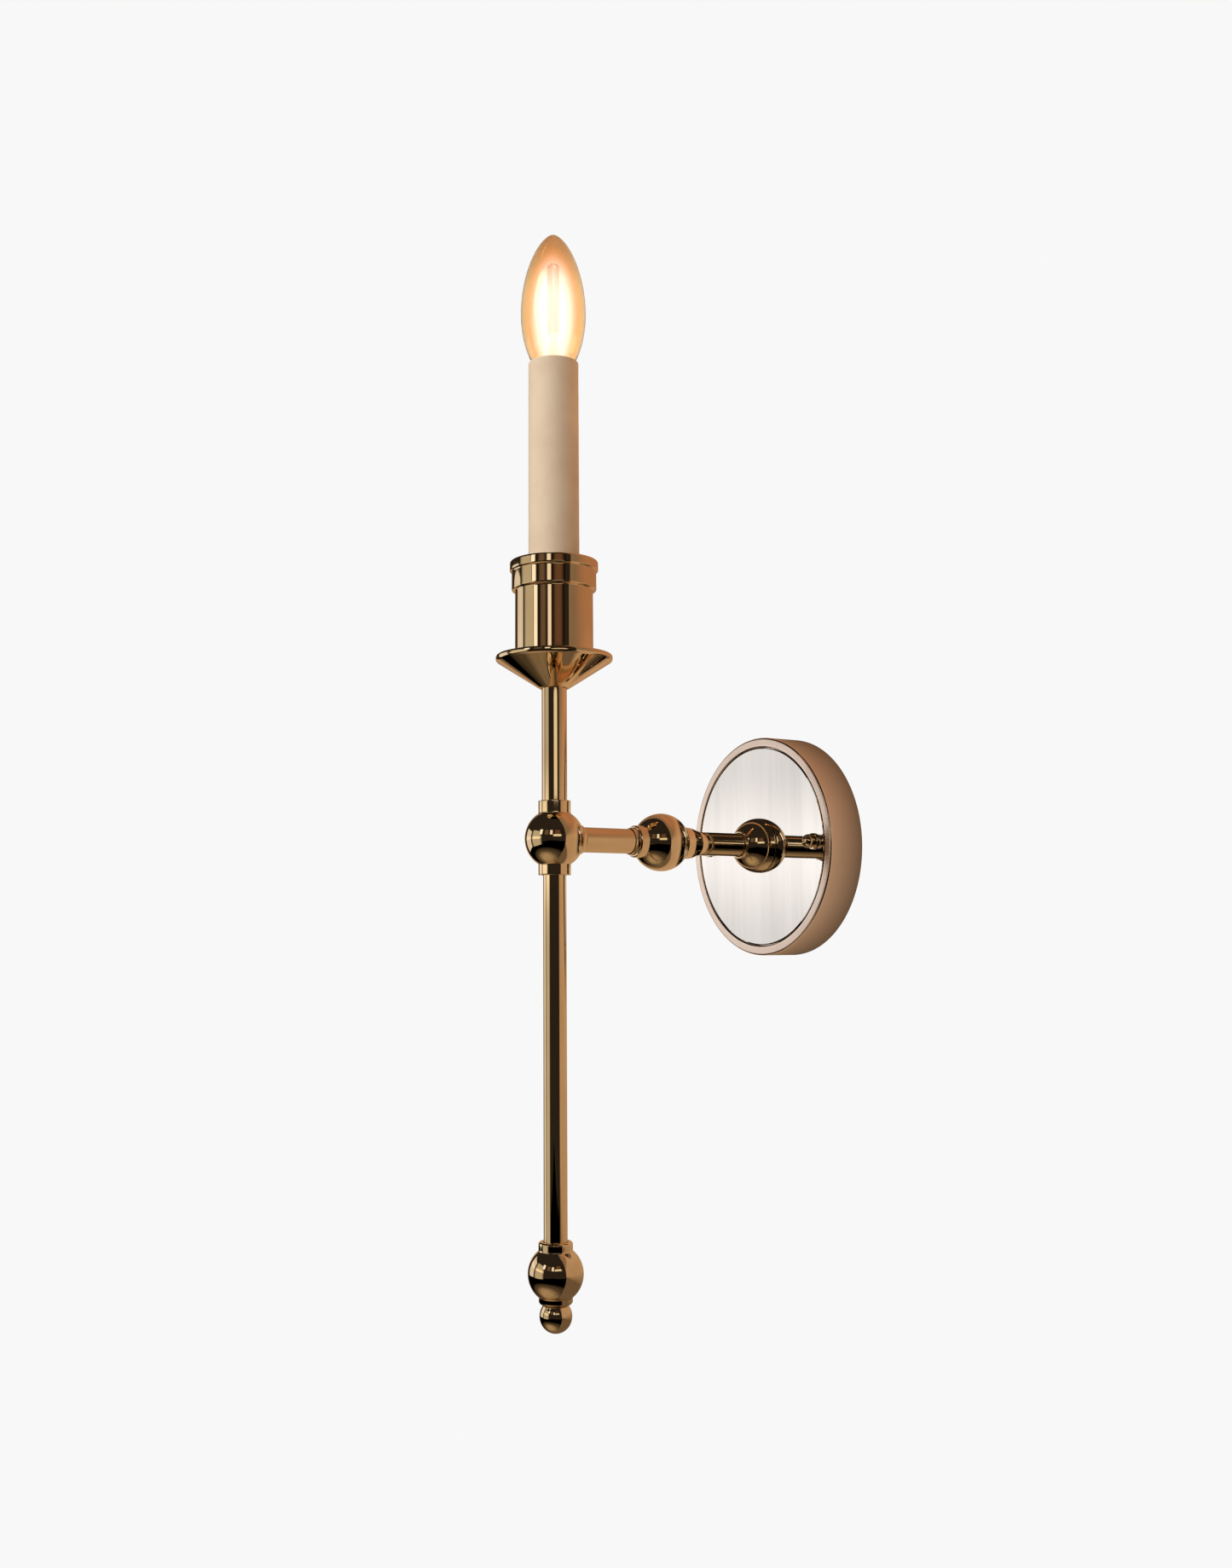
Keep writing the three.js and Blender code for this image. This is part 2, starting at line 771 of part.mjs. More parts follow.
const half = STUD_SPACING / 2;
addPart('wall_bracket', wallBracket(), zincSteel);
addPart('stud_left', wallStud(-half), zincSteel);
addPart('stud_right', wallStud(half), zincSteel);
addPart('cap_nut_left', capNut(-half), polishedBrass);
addPart('cap_nut_right', capNut(half), polishedBrass);
addPart('earth_screw', earthScrew(), polishedBrass);
addPart('terminal_block', terminalBlock(), whitePlastic);
for (const way of [-1, 0, 1]) {
  addPart(`terminal_screw_${way + 2}`, terminalScrew(way), zincSteel);
}

addPart('back_plate', backPlate(), polishedBrass);
addPart('mirror_disc', mirrorDisc(), mirrorSilver);
addPart('hub_half_ball', hubHalfBall(), polishedBrass);

const washerFrom = PLATE_FLOOR - PLATE_SHEET - GAP - WASHER_THICKNESS;
const washerTo = washerFrom + WASHER_THICKNESS;
const nutFrom = washerFrom - GAP - NUT_THICKNESS;
const nippleRing = ring(NIPPLE_BORE, NIPPLE_RADIUS, nutFrom - 0.6, HUB_SOCKET_FLOOR - 0.6);
addPart('hub_nipple', turnedOut(nippleRing, ROUND), zincSteel);
addPart('nipple_washer', turnedOut(ring(NIPPLE_RADIUS + GAP, 10, washerFrom, washerTo), ROUND), zincSteel);
addPart('nipple_nut', hexNut(turnedOut, nutFrom, nutFrom + NUT_THICKNESS), zincSteel);

const ballInnerSocket = ARM_BALL_DEPTH - ARM_BALL_WALL_END + SOCKET_DEPTH - GAP;
const ballOuterSocket = ARM_BALL_DEPTH + ARM_BALL_STEM_END - SOCKET_DEPTH + GAP;
const teeSocketFloor = ARM_LENGTH - TEE_ARM_LIP + TEE_ARM_SOCKET - GAP;
addPart('arm_tube_inner', armTube(INNER_ARM_RADIUS, HUB_SOCKET_FLOOR + GAP, ballInnerSocket), polishedBrass);
addPart('arm_ball', armBall(), polishedBrass);
addPart('arm_tube_outer', armTube(OUTER_ARM_RADIUS, ballOuterSocket, teeSocketFloor), polishedBrass);
addPart('tee_ball', teeBall(), polishedBrass);

const upperStemFrom = TEE_COLLAR_END - SOCKET_DEPTH + GAP;
const lowerStemTo = TEE_LOWER_END + SOCKET_DEPTH - GAP;
const lowerStemFrom = FINIAL_TOP - FINIAL_SOCKET + GAP;
const upperStemTo = PAN_BOTTOM + PAN_SOCKET - GAP;
addPart('stem_tube_upper', stemTube(UPPER_STEM_RADIUS, upperStemFrom, upperStemTo), polishedBrass);
addPart('stem_tube_lower', stemTube(LOWER_STEM_RADIUS, lowerStemFrom, lowerStemTo), polishedBrass);
addPart('finial_ball', finialBall(), polishedBrass);
addPart('finial_tip', finialTip(), polishedBrass);
addPart('drip_pan', dripPan(), polishedBrass);
addPart('candle_cup', candleCup(), polishedBrass);


const cupWasherFrom = CUP_FLOOR + GAP;
const cupWasherTo = cupWasherFrom + WASHER_THICKNESS;
const cupNutFrom = cupWasherTo + GAP;
addPart('holder_tube', turnedUp(ring(NIPPLE_BORE, NIPPLE_RADIUS, 76, 224.2), ROUND), zincSteel);
addPart('cup_washer', turnedUp(ring(NIPPLE_RADIUS + GAP, 9, cupWasherFrom, cupWasherTo), ROUND), zincSteel);
addPart('cup_nut', hexNut(turnedUp, cupNutFrom, cupNutFrom + NUT_THICKNESS), zincSteel);
addPart('lamp_holder', lampHolder(), whitePlastic);
addPart('holder_shell', holderShell(), polishedBrass);
addPart('holder_contact', holderContact(), polishedBrass);
addPart('candle_sleeve', candleSleeve(), creamSleeve);
addPart('inner_flex', innerFlex(), flexSheath);

addPart('bulb_cap', bulbCap(), nickelPlate);
addPart('bulb_insulator', bulbInsulator(), blackGlass);
addPart('bulb_contact', bulbContact(), nickelPlate);
addPart('bulb_glass', bulbGlass(), warmGlass);
addPart('bulb_stem', bulbStem(), warmGlass);
for (const quarter of [0, 1, 2, 3]) {
  addPart(`filament_${quarter + 1}`, filament(quarter), litFilament);
}
addPart('filament_ring_lower', filamentRing(FILAMENT_BOTTOM + RING_HALF), nickelPlate);
addPart('filament_ring_upper', filamentRing(FILAMENT_TOP - RING_HALF), nickelPlate);

export default sconce;
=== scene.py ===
import bpy
import math
from mathutils import Euler, Matrix, Vector


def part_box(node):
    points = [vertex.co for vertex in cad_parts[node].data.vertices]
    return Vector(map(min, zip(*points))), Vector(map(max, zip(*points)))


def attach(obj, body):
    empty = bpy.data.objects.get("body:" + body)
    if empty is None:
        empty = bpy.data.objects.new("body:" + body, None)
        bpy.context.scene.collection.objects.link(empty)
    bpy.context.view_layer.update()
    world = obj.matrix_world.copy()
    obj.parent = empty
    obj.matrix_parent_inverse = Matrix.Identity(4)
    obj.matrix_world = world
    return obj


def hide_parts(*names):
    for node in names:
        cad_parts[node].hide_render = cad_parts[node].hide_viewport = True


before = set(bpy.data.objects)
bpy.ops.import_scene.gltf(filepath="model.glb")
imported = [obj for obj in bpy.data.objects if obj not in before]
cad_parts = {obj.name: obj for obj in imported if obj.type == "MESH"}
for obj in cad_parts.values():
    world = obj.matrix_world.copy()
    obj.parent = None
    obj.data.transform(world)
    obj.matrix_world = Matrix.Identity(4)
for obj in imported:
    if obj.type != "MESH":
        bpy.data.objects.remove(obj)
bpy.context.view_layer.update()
mm = 0.001
smoothBelow = math.radians(38)    # edges flatter than this are shaded smooth, sharper ones get a soft corner
weld = 0.000002

# places that several pieces share, read from the frame
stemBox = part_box("stem_tube_lower")
stemX = (stemBox[0].x + stemBox[1].x) / 2
stemY = (stemBox[0].y + stemBox[1].y) / 2
armZ = 0.0


cameraSetup = {
    "place": (0.6760, -0.5595, -0.0486),   # metres, out in the room and a little below the arm
    "turn": 58.47,                         # degrees round from facing the wall
    "tiltUp": 9.15,
    "roll": -0.24,
    "lens": 35.34,
    "shift": (0.0297, -0.0617),
}


def addCamera(setup):
    data = bpy.data.cameras.new("sconceCamera")
    data.lens = setup["lens"]
    data.sensor_width = 36
    data.shift_x, data.shift_y = setup["shift"]
    data.clip_start = 0.02
    data.clip_end = 50
    camera = bpy.data.objects.new("sconceCamera", data)
    bpy.context.scene.collection.objects.link(camera)
    aim = Euler((math.radians(90 + setup["tiltUp"]), 0, math.radians(setup["turn"]))).to_matrix()
    aim = aim @ Matrix.Rotation(math.radians(setup["roll"]), 3, "Z")
    camera.matrix_world = Matrix.Translation(Vector(setup["place"])) @ aim.to_4x4()
    bpy.context.scene.camera = camera


addCamera(cameraSetup)
print("camera placed")


def newMaterial(name):
    material = bpy.data.materials.new(name)
    material.use_nodes = True
    tree = material.node_tree
    tree.nodes.clear()
    output = tree.nodes.new("ShaderNodeOutputMaterial")
    output.location = (900, 0)
    return material, tree, output


def put(tree, kind, x, y, **settings):
    node = tree.nodes.new(kind)
    node.location = (x, y)
    for key, value in settings.items():
        setattr(node, key, value)
    return node


def fill(node, **values):
    for key, value in values.items():
        node.inputs[key.replace("_", " ")].default_value = value
    return node


# turns values from start to end into values from first to last
def ramp(tree, x, y, start=0.0, end=1.0, first=0.0, last=1.0):
    node = put(tree, "ShaderNodeMapRange", x, y)
    return fill(node, From_Min=start, From_Max=end, To_Min=first, To_Max=last)


def rgb(red, green, blue):
    return (red, green, blue, 1.0)


def addSocket(group, name, side, kind, value=None):
    socket = group.interface.new_socket(name=name, in_out=side, socket_type=kind)
    if value is not None:
        socket.default_value = value
    return socket


# cloudy patches, fine drawn-out grain and tiny pits, shared by all the metals and plastics
def buildSurfaceGroup():
    group = bpy.data.node_groups.new("workedSurface", "ShaderNodeTree")
    addSocket(group, "Clean", "INPUT", "NodeSocketColor", rgb(0.8, 0.8, 0.8))
    addSocket(group, "Dull", "INPUT", "NodeSocketColor", rgb(0.5, 0.5, 0.5))
    addSocket(group, "Dull Amount", "INPUT", "NodeSocketFloat", 0.4)
    addSocket(group, "Patch Scale", "INPUT", "NodeSocketFloat", 60.0)
    addSocket(group, "Grain Stretch", "INPUT", "NodeSocketVector", (1.0, 1.0, 1.0))
    addSocket(group, "Grain Scale", "INPUT", "NodeSocketFloat", 400.0)
    addSocket(group, "Smooth", "INPUT", "NodeSocketFloat", 0.08)
    addSocket(group, "Rough", "INPUT", "NodeSocketFloat", 0.2)
    addSocket(group, "Colour", "OUTPUT", "NodeSocketColor")
    addSocket(group, "Roughness", "OUTPUT", "NodeSocketFloat")
    addSocket(group, "Height", "OUTPUT", "NodeSocketFloat")
    given = put(group, "NodeGroupInput", -900, 0)
    result = put(group, "NodeGroupOutput", 900, 0)
    where = put(group, "ShaderNodeTexCoord", -900, 300)
    patches = fill(put(group, "ShaderNodeTexNoise", -600, 300), Detail=6.0, Roughness=0.62)
    stretch = put(group, "ShaderNodeVectorMath", -750, -100, operation="MULTIPLY")
    grain = fill(put(group, "ShaderNodeTexNoise", -560, -100), Detail=4.0, Roughness=0.55)
    pits = put(group, "ShaderNodeTexVoronoi", -560, -380, feature="F1")
    pits.inputs["Scale"].default_value = 900
    patchRange = ramp(group, -380, 300, 0.42, 0.72)
    amount = put(group, "ShaderNodeMath", -180, 300, operation="MULTIPLY")
    colour = put(group, "ShaderNodeMix", 60, 260, data_type="RGBA")
    spread = put(group, "ShaderNodeMath", -180, 60, operation="MULTIPLY_ADD")
    spread.inputs[1].default_value = 0.45
    roughness = put(group, "ShaderNodeMix", 300, 60, data_type="FLOAT")
    pitRange = ramp(group, -340, -380, end=0.12)
    height = put(group, "ShaderNodeMath", 100, -200, operation="MULTIPLY_ADD")
    height.inputs[1].default_value = 0.35
    link = group.links.new
    link(where.outputs["Object"], patches.inputs["Vector"])
    link(given.outputs["Patch Scale"], patches.inputs["Scale"])
    link(where.outputs["Object"], stretch.inputs[0])
    link(given.outputs["Grain Stretch"], stretch.inputs[1])
    link(stretch.outputs["Vector"], grain.inputs["Vector"])
    link(given.outputs["Grain Scale"], grain.inputs["Scale"])
    link(where.outputs["Object"], pits.inputs["Vector"])
    link(patches.outputs["Fac"], patchRange.inputs["Value"])
    link(patchRange.outputs["Result"], amount.inputs[0])
    link(given.outputs["Dull Amount"], amount.inputs[1])
    link(amount.outputs[0], colour.inputs["Factor"])
    link(given.outputs["Clean"], colour.inputs["A"])
    link(given.outputs["Dull"], colour.inputs["B"])
    link(grain.outputs["Fac"], spread.inputs[0])
    link(patchRange.outputs["Result"], spread.inputs[2])
    link(spread.outputs[0], roughness.inputs["Factor"])
    link(given.outputs["Smooth"], roughness.inputs["A"])
    link(given.outputs["Rough"], roughness.inputs["B"])
    link(pits.outputs["Distance"], pitRange.inputs["Value"])
    link(pitRange.outputs["Result"], height.inputs[0])
    link(grain.outputs["Fac"], height.inputs[2])
    link(colour.outputs["Result"], result.inputs["Colour"])
    link(roughness.outputs["Result"], result.inputs["Roughness"])
    link(height.outputs[0], result.inputs["Height"])
    return group


surfaceGroup = buildSurfaceGroup()


def workedMaterial(name, look):
    material, tree, output = newMaterial(name)
    surface = put(tree, "ShaderNodeGroup", 0, 0, node_tree=surfaceGroup)
    fill(
        surface,
        Clean=rgb(*look["clean"]),
        Dull=rgb(*look["dull"]),
        Dull_Amount=look["dullAmount"],
        Patch_Scale=look["patchScale"],
        Grain_Stretch=look["stretch"],
        Grain_Scale=look["grainScale"],
        Smooth=look["smooth"],
        Rough=look["rough"],
    )
    bump = fill(put(tree, "ShaderNodeBump", 300, -250), Strength=look["bump"], Distance=look["bumpDepth"])
    shader = put(tree, "ShaderNodeBsdfPrincipled", 560, 0)
    fill(shader, Metallic=look["metal"], IOR=look.get("ior", 1.5))
    shader.inputs["Specular Tint"].default_value = rgb(*look.get("edge", (1, 1, 1)))
    shader.inputs["Coat Weight"].default_value = look.get("coat", 0.0)
    tree.links.new(surface.outputs["Colour"], shader.inputs["Base Color"])
    tree.links.new(surface.outputs["Roughness"], shader.inputs["Roughness"])
    tree.links.new(surface.outputs["Height"], bump.inputs["Height"])
    tree.links.new(bump.outputs["Normal"], shader.inputs["Normal"])
    tree.links.new(shader.outputs["BSDF"], output.inputs["Surface"])
    return material


brassLook = {
    "clean": (0.87, 0.665, 0.42), "dull": (0.74, 0.50, 0.27), "dullAmount": 0.4, "patchScale": 38.0,
    "stretch": (1, 1, 1), "grainScale": 260.0, "smooth": 0.02, "rough": 0.055, "bump": 0.04,
    "bumpDepth": 0.000002, "metal": 1.0, "edge": (1.0, 0.95, 0.88),
}
uprightBrass = workedMaterial("uprightBrass", {**brassLook, "stretch": (1, 1, 9)})
armBrass = workedMaterial("armBrass", {**brassLook, "stretch": (1, 9, 1)})
# the plate's brass in a rougher finish, its colour made pinker as a painted reflection of the pink wall
plateBrassWithPaintedPinkReflection = workedMaterial("plateBrassWithPaintedPinkReflection", {
    **brassLook, "clean": (0.87, 0.71, 0.61), "dull": (0.79, 0.60, 0.49), "smooth": 0.18, "rough": 0.26,
    "bump": 0.05, "bumpDepth": 0.000005,
})
zincSteel = workedMaterial("zincSteel", {
    "clean": (0.60, 0.61, 0.62), "dull": (0.36, 0.36, 0.35), "dullAmount": 0.7, "patchScale": 120.0,
    "stretch": (1, 6, 1), "grainScale": 700.0, "smooth": 0.28, "rough": 0.5, "bump": 0.3,
    "bumpDepth": 0.00005, "metal": 1.0,
})
nickelPlate = workedMaterial("nickelPlate", {
    "clean": (0.66, 0.63, 0.58), "dull": (0.42, 0.38, 0.33), "dullAmount": 0.6, "patchScale": 160.0,
    "stretch": (1, 1, 5), "grainScale": 500.0, "smooth": 0.18, "rough": 0.36, "bump": 0.2,
    "bumpDepth": 0.00003, "metal": 1.0,
})
whitePlastic = workedMaterial("whitePlastic", {
    "clean": (0.80, 0.78, 0.73), "dull": (0.66, 0.62, 0.54), "dullAmount": 0.5, "patchScale": 90.0,
    "stretch": (1, 1, 1), "grainScale": 1200.0, "smooth": 0.35, "rough": 0.55, "bump": 0.35,
    "bumpDepth": 0.00005, "metal": 0.0,
})
flexSheath = workedMaterial("flexSheath", {
    "clean": (0.72, 0.68, 0.58), "dull": (0.52, 0.47, 0.38), "dullAmount": 0.5, "patchScale": 140.0,
    "stretch": (1, 1, 1), "grainScale": 900.0, "smooth": 0.45, "rough": 0.65, "bump": 0.4,
    "bumpDepth": 0.00005, "metal": 0.0,
})
blackGlass = workedMaterial("blackGlass", {
    "clean": (0.012, 0.011, 0.012), "dull": (0.04, 0.035, 0.03), "dullAmount": 0.6, "patchScale": 200.0,
    "stretch": (1, 1, 1), "grainScale": 800.0, "smooth": 0.12, "rough": 0.35, "bump": 0.3,
    "bumpDepth": 0.00004, "metal": 0.0,
})
creamSleeve = workedMaterial("creamSleeve", {
    "clean": (0.86, 0.71, 0.545), "dull": (0.73, 0.565, 0.40), "dullAmount": 0.5, "patchScale": 55.0,
    "stretch": (1, 1, 0.25), "grainScale": 420.0, "smooth": 0.42, "rough": 0.62, "bump": 0.35,
    "bumpDepth": 0.00012, "metal": 0.0,
})


silverLook = {
    "clean": (0.91, 0.885, 0.865), "drawn": (0.84, 0.81, 0.79), "tarnish": (0.30, 0.22, 0.16),
    "rimFrom": 0.0515, "rimTo": 0.0545, "drawing": (220, 1, 9), "spotScale": 420.0,
}


# silvered face with faint upright drawing lines and tarnish spots that gather at the rim
def mirrorMaterial(look):
    material, tree, output = newMaterial("mirrorSilver")
    where = put(tree, "ShaderNodeTexCoord", -900, 0)
    streaks = put(tree, "ShaderNodeMapping", -700, 150)
    streaks.inputs["Scale"].default_value = look["drawing"]
    lines = fill(put(tree, "ShaderNodeTexNoise", -500, 150), Scale=1.0, Detail=5.0, Roughness=0.6)
    spots = fill(put(tree, "ShaderNodeTexNoise", -500, -150), Scale=look["spotScale"], Detail=3.0)
    fromCentre = put(tree, "ShaderNodeVectorMath", -700, -350, operation="LENGTH")
    flat = put(tree, "ShaderNodeVectorMath", -820, -350, operation="MULTIPLY")
    flat.inputs[1].default_value = (1, 0, 1)
    nearRim = ramp(tree, -500, -350, look["rimFrom"], look["rimTo"])
    spotted = put(tree, "ShaderNodeMath", -260, -250, operation="MULTIPLY")
    spotRange = ramp(tree, -80, -250, 0.42, 0.75, last=0.5)
    lineRange = ramp(tree, -260, 150, 0.3, 0.7)
    silver = put(tree, "ShaderNodeMix", 120, 150, data_type="RGBA")
    silver.inputs["A"].default_value = rgb(*look["drawn"])
    silver.inputs["B"].default_value = rgb(*look["clean"])
    aged = put(tree, "ShaderNodeMix", 320, 50, data_type="RGBA")
    aged.inputs["B"].default_value = rgb(*look["tarnish"])
    rough = ramp(tree, 120, -80, first=0.015, last=0.05)
    shader = fill(put(tree, "ShaderNodeBsdfPrincipled", 560, 0), Metallic=1.0)
    link = tree.links.new
    link(where.outputs["Object"], streaks.inputs["Vector"])
    link(streaks.outputs["Vector"], lines.inputs["Vector"])
    link(where.outputs["Object"], spots.inputs["Vector"])
    link(where.outputs["Object"], flat.inputs[0])
    link(flat.outputs["Vector"], fromCentre.inputs[0])
    link(fromCentre.outputs["Value"], nearRim.inputs["Value"])
    link(spots.outputs["Fac"], spotted.inputs[0])
    link(nearRim.outputs["Result"], spotted.inputs[1])
    link(spotted.outputs[0], spotRange.inputs["Value"])
    link(lines.outputs["Fac"], lineRange.inputs["Value"])
    link(lineRange.outputs["Result"], silver.inputs["Factor"])
    link(lineRange.outputs["Result"], rough.inputs["Value"])
    link(silver.outputs["Result"], aged.inputs["A"])
    link(spotRange.outputs["Result"], aged.inputs["Factor"])
    link(aged.outputs["Result"], shader.inputs["Base Color"])
    link(rough.outputs["Result"], shader.inputs["Roughness"])
    link(shader.outputs["BSDF"], output.inputs["Surface"])
    return material


glassLook = {"body": (1.0, 0.77, 0.50), "tip": (0.74, 0.48, 0.27), "tipFrom": 0.296, "tipTo": 0.324,
             "seedScale": 90.0}


# amber light held in clear blown glass, deepest towards the tip
def bulbGlassMaterial(look):
    material, tree, output = newMaterial("bulbGlass")
    where = put(tree, "ShaderNodeTexCoord", -700, 0)
    apart = put(tree, "ShaderNodeSeparateXYZ", -520, 0)
    rise = ramp(tree, -340, 0, look["tipFrom"], look["tipTo"])
    seeds = fill(put(tree, "ShaderNodeTexNoise", -520, -260), Scale=look["seedScale"], Detail=2.0)
    tint = put(tree, "ShaderNodeMix", -100, 60, data_type="RGBA")
    tint.inputs["A"].default_value = rgb(*look["body"])
    tint.inputs["B"].default_value = rgb(*look["tip"])
    rough = ramp(tree, -100, -200, first=0.0, last=0.03)
    bump = fill(put(tree, "ShaderNodeBump", 150, -320), Strength=0.15, Distance=0.0002)
    shader = fill(put(tree, "ShaderNodeBsdfPrincipled", 460, 0), Metallic=0.0, IOR=1.45)
    shader.inputs["Transmission Weight"].default_value = 1.0
    link = tree.links.new
    link(where.outputs["Object"], apart.inputs["Vector"])
    link(apart.outputs["Z"], rise.inputs["Value"])
    link(rise.outputs["Result"], tint.inputs["Factor"])
    link(where.outputs["Object"], seeds.inputs["Vector"])
    link(seeds.outputs["Fac"], rough.inputs["Value"])
    link(seeds.outputs["Fac"], bump.inputs["Height"])
    link(tint.outputs["Result"], shader.inputs["Base Color"])
    link(rough.outputs["Result"], shader.inputs["Roughness"])
    link(bump.outputs["Normal"], shader.inputs["Normal"])
    link(shader.outputs["BSDF"], output.inputs["Surface"])
    return material


# how bright the glare is at its heart and near the glass, and between which shares of the bulb's width
glareLook = {"heart": (2.5, 2.75, 3.9), "edge": (1.5, 0.60, 0.12), "whiteTo": 0.56, "orangeFrom": 0.84}


# the glare round the lit filaments: fine skins build it up, orange near the glass and white at heart
def glareMaterial(size, look):
    material, tree, output = newMaterial("lampGlare")
    where = put(tree, "ShaderNodeTexCoord", -1100, 0)
    centre = put(tree, "ShaderNodeVectorMath", -900, 0, operation="SUBTRACT")
    centre.inputs[1].default_value = (stemX, stemY, size["widest"] * mm)
    squash = put(tree, "ShaderNodeVectorMath", -700, 0, operation="DIVIDE")
    across, along = size["radius"] * mm, (size["tip"] - size["widest"]) * mm
    squash.inputs[1].default_value = (across, across, along)
    apart = put(tree, "ShaderNodeVectorMath", -520, 0, operation="LENGTH")
    outward = ramp(tree, -340, 0, look["whiteTo"], look["orangeFrom"])
    outward.interpolation_type = "SMOOTHSTEP"
    hue = put(tree, "ShaderNodeMix", -100, 100, data_type="RGBA")
    hue.inputs["A"].default_value = rgb(*look["heart"])
    hue.inputs["B"].default_value = rgb(*look["edge"])
    shader = fill(put(tree, "ShaderNodeBsdfPrincipled", 460, 0), Metallic=0.0, Roughness=0.9, Alpha=0.06)
    shader.inputs["Base Color"].default_value = rgb(0.0, 0.0, 0.0)
    shader.inputs["Specular IOR Level"].default_value = 0.0
    shader.inputs["Emission Strength"].default_value = 1.0
    link = tree.links.new
    link(where.outputs["Object"], centre.inputs[0])
    link(centre.outputs["Vector"], squash.inputs[0])
    link(squash.outputs["Vector"], apart.inputs[0])
    link(apart.outputs["Value"], outward.inputs["Value"])
    link(outward.outputs["Result"], hue.inputs["Factor"])
    link(hue.outputs["Result"], shader.inputs["Emission Color"])
    link(shader.outputs["BSDF"], output.inputs["Surface"])
    return material


filamentLook = {"dark": (0.34, 0.17, 0.04), "light": (0.55, 0.32, 0.09), "chipScale": 180.0, "glow": 0.35}


def filamentMaterial(look):
    material, tree, output = newMaterial("litFilament")
    where = put(tree, "ShaderNodeTexCoord", -600, 0)
    chips = fill(put(tree, "ShaderNodeTexWave", -400, 0), Scale=look["chipScale"], Distortion=0.4)
    chips.bands_direction = "Z"
    hue = put(tree, "ShaderNodeMix", -150, 60, data_type="RGBA")
    hue.inputs["A"].default_value = rgb(*look["dark"])
    hue.inputs["B"].default_value = rgb(*look["light"])
    shader = fill(put(tree, "ShaderNodeBsdfPrincipled", 300, 0), Metallic=0.0, Roughness=0.6)
    shader.inputs["Emission Strength"].default_value = look["glow"]
    link = tree.links.new
    link(where.outputs["Object"], chips.inputs["Vector"])
    link(chips.outputs["Fac"], hue.inputs["Factor"])
    link(hue.outputs["Result"], shader.inputs["Base Color"])
    link(hue.outputs["Result"], shader.inputs["Emission Color"])
    link(shader.outputs["BSDF"], output.inputs["Surface"])
    return material


mirrorSilver = mirrorMaterial(silverLook)
bulbGlass = bulbGlassMaterial(glassLook)
litFilament = filamentMaterial(filamentLook)
print("finishes made")


holdGap = 0.7       # how far from a corner the holding points sit
longStraight = 3    # stretches longer than this get them


def clearSelection():
    if bpy.context.object and bpy.context.object.mode != "OBJECT":
        bpy.ops.object.mode_set(mode="OBJECT")
    bpy.ops.object.select_all(action="DESELECT")


def makeActive(piece):
    clearSelection()
    piece.select_set(True)
    bpy.context.view_layer.objects.active = piece


def arc(centreRadius, centreStation, radius, fromAngle, toAngle, steps):
    points = []
    for i in range(steps + 1):
        angle = math.radians(fromAngle + (toAngle - fromAngle) * i / steps)
        points.append((centreRadius + radius * math.cos(angle), centreStation + radius * math.sin(angle)))
    return points


def meetAngle(collar, ball):
    return math.degrees(math.acos(collar / ball))


# extra points close to both ends of every long straight stretch, so that the soft corners
# at its ends don't bend the shine along it
def holdStraights(outline, closed):
    held = []
    ends = outline[1:] + [outline[0] if closed else outline[-1]]
    for start, end in zip(outline, ends):
        held.append(start)
        length = math.dist(start, end)
        if length > longStraight:
            for share in (holdGap / length, 1 - holdGap / length):
                held.append((start[0] + (end[0] - start[0]) * share, start[1] + (end[1] - start[1]) * share))
    return held


# draws an outline of (radius, station) points in millimetres and spins it into a solid
def turnPiece(name, outline, upright, closed=True, steps=96, centre=None, bevel=0.25):
    clearSelection()
    x, z = centre if centre else (stemX, armZ)

    def onOutline(point):
        radius, station = point[0] * mm, point[1] * mm
        if upright:
            return Vector((stemX + radius, stemY, station))
        return Vector((x + radius, -station, z))

    outline = holdStraights(outline, closed)
    first = onOutline(outline[0])
    bpy.ops.mesh.primitive_plane_add(size=0.001, location=first)
    piece = bpy.context.object
    piece.name = name
    bpy.ops.object.transform_apply(location=True, rotation=True, scale=True)
    bpy.ops.object.mode_set(mode="EDIT")
    bpy.ops.mesh.select_all(action="SELECT")
    bpy.ops.mesh.merge(type="CENTER")
    before = first
    for point in outline[1:] + ([outline[0]] if closed else []):
        place = onOutline(point)
        bpy.ops.mesh.extrude_region_move(TRANSFORM_OT_translate={"value": place - before})
        before = place
    bpy.ops.mesh.select_all(action="SELECT")
    bpy.ops.mesh.remove_doubles(threshold=weld)
    bpy.ops.mesh.select_all(action="SELECT")
    axis = (0, 0, 1) if upright else (0, 1, 0)
    pivot = (stemX, stemY, 0) if upright else (x, 0, z)
    bpy.ops.mesh.spin(steps=steps, angle=math.tau, center=pivot, axis=axis)
    bpy.ops.mesh.select_all(action="SELECT")
    bpy.ops.mesh.remove_doubles(threshold=weld)
    bpy.ops.mesh.normals_make_consistent(inside=False)
    bpy.ops.object.mode_set(mode="OBJECT")
    if bevel:
        softenEdges(piece, bevel)
    bpy.ops.object.shade_smooth_by_angle(angle=smoothBelow)
    return piece


def softenEdges(piece, width):
    makeActive(piece)
    bevel = piece.modifiers.new("softEdges", "BEVEL")
    bevel.width = width * mm
    bevel.segments = 3
    bevel.limit_method = "ANGLE"
    bevel.angle_limit = smoothBelow
    bpy.ops.object.modifier_apply(modifier=bevel.name)


def finishPiece(piece, material, body, slot, *nodes):
    piece.data.materials.clear()
    piece.data.materials.append(material)
    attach(piece, body)
    if nodes:
        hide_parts(*nodes)
    return piece


def finishBrass(piece, material, *nodes):
    finishPiece(piece, material, "fixture", "polished_brass", *nodes)


# in metres, long enough to go right through the plate and the mirror
drill = {"length": 0.06, "middle": -0.02, "sides": 48}


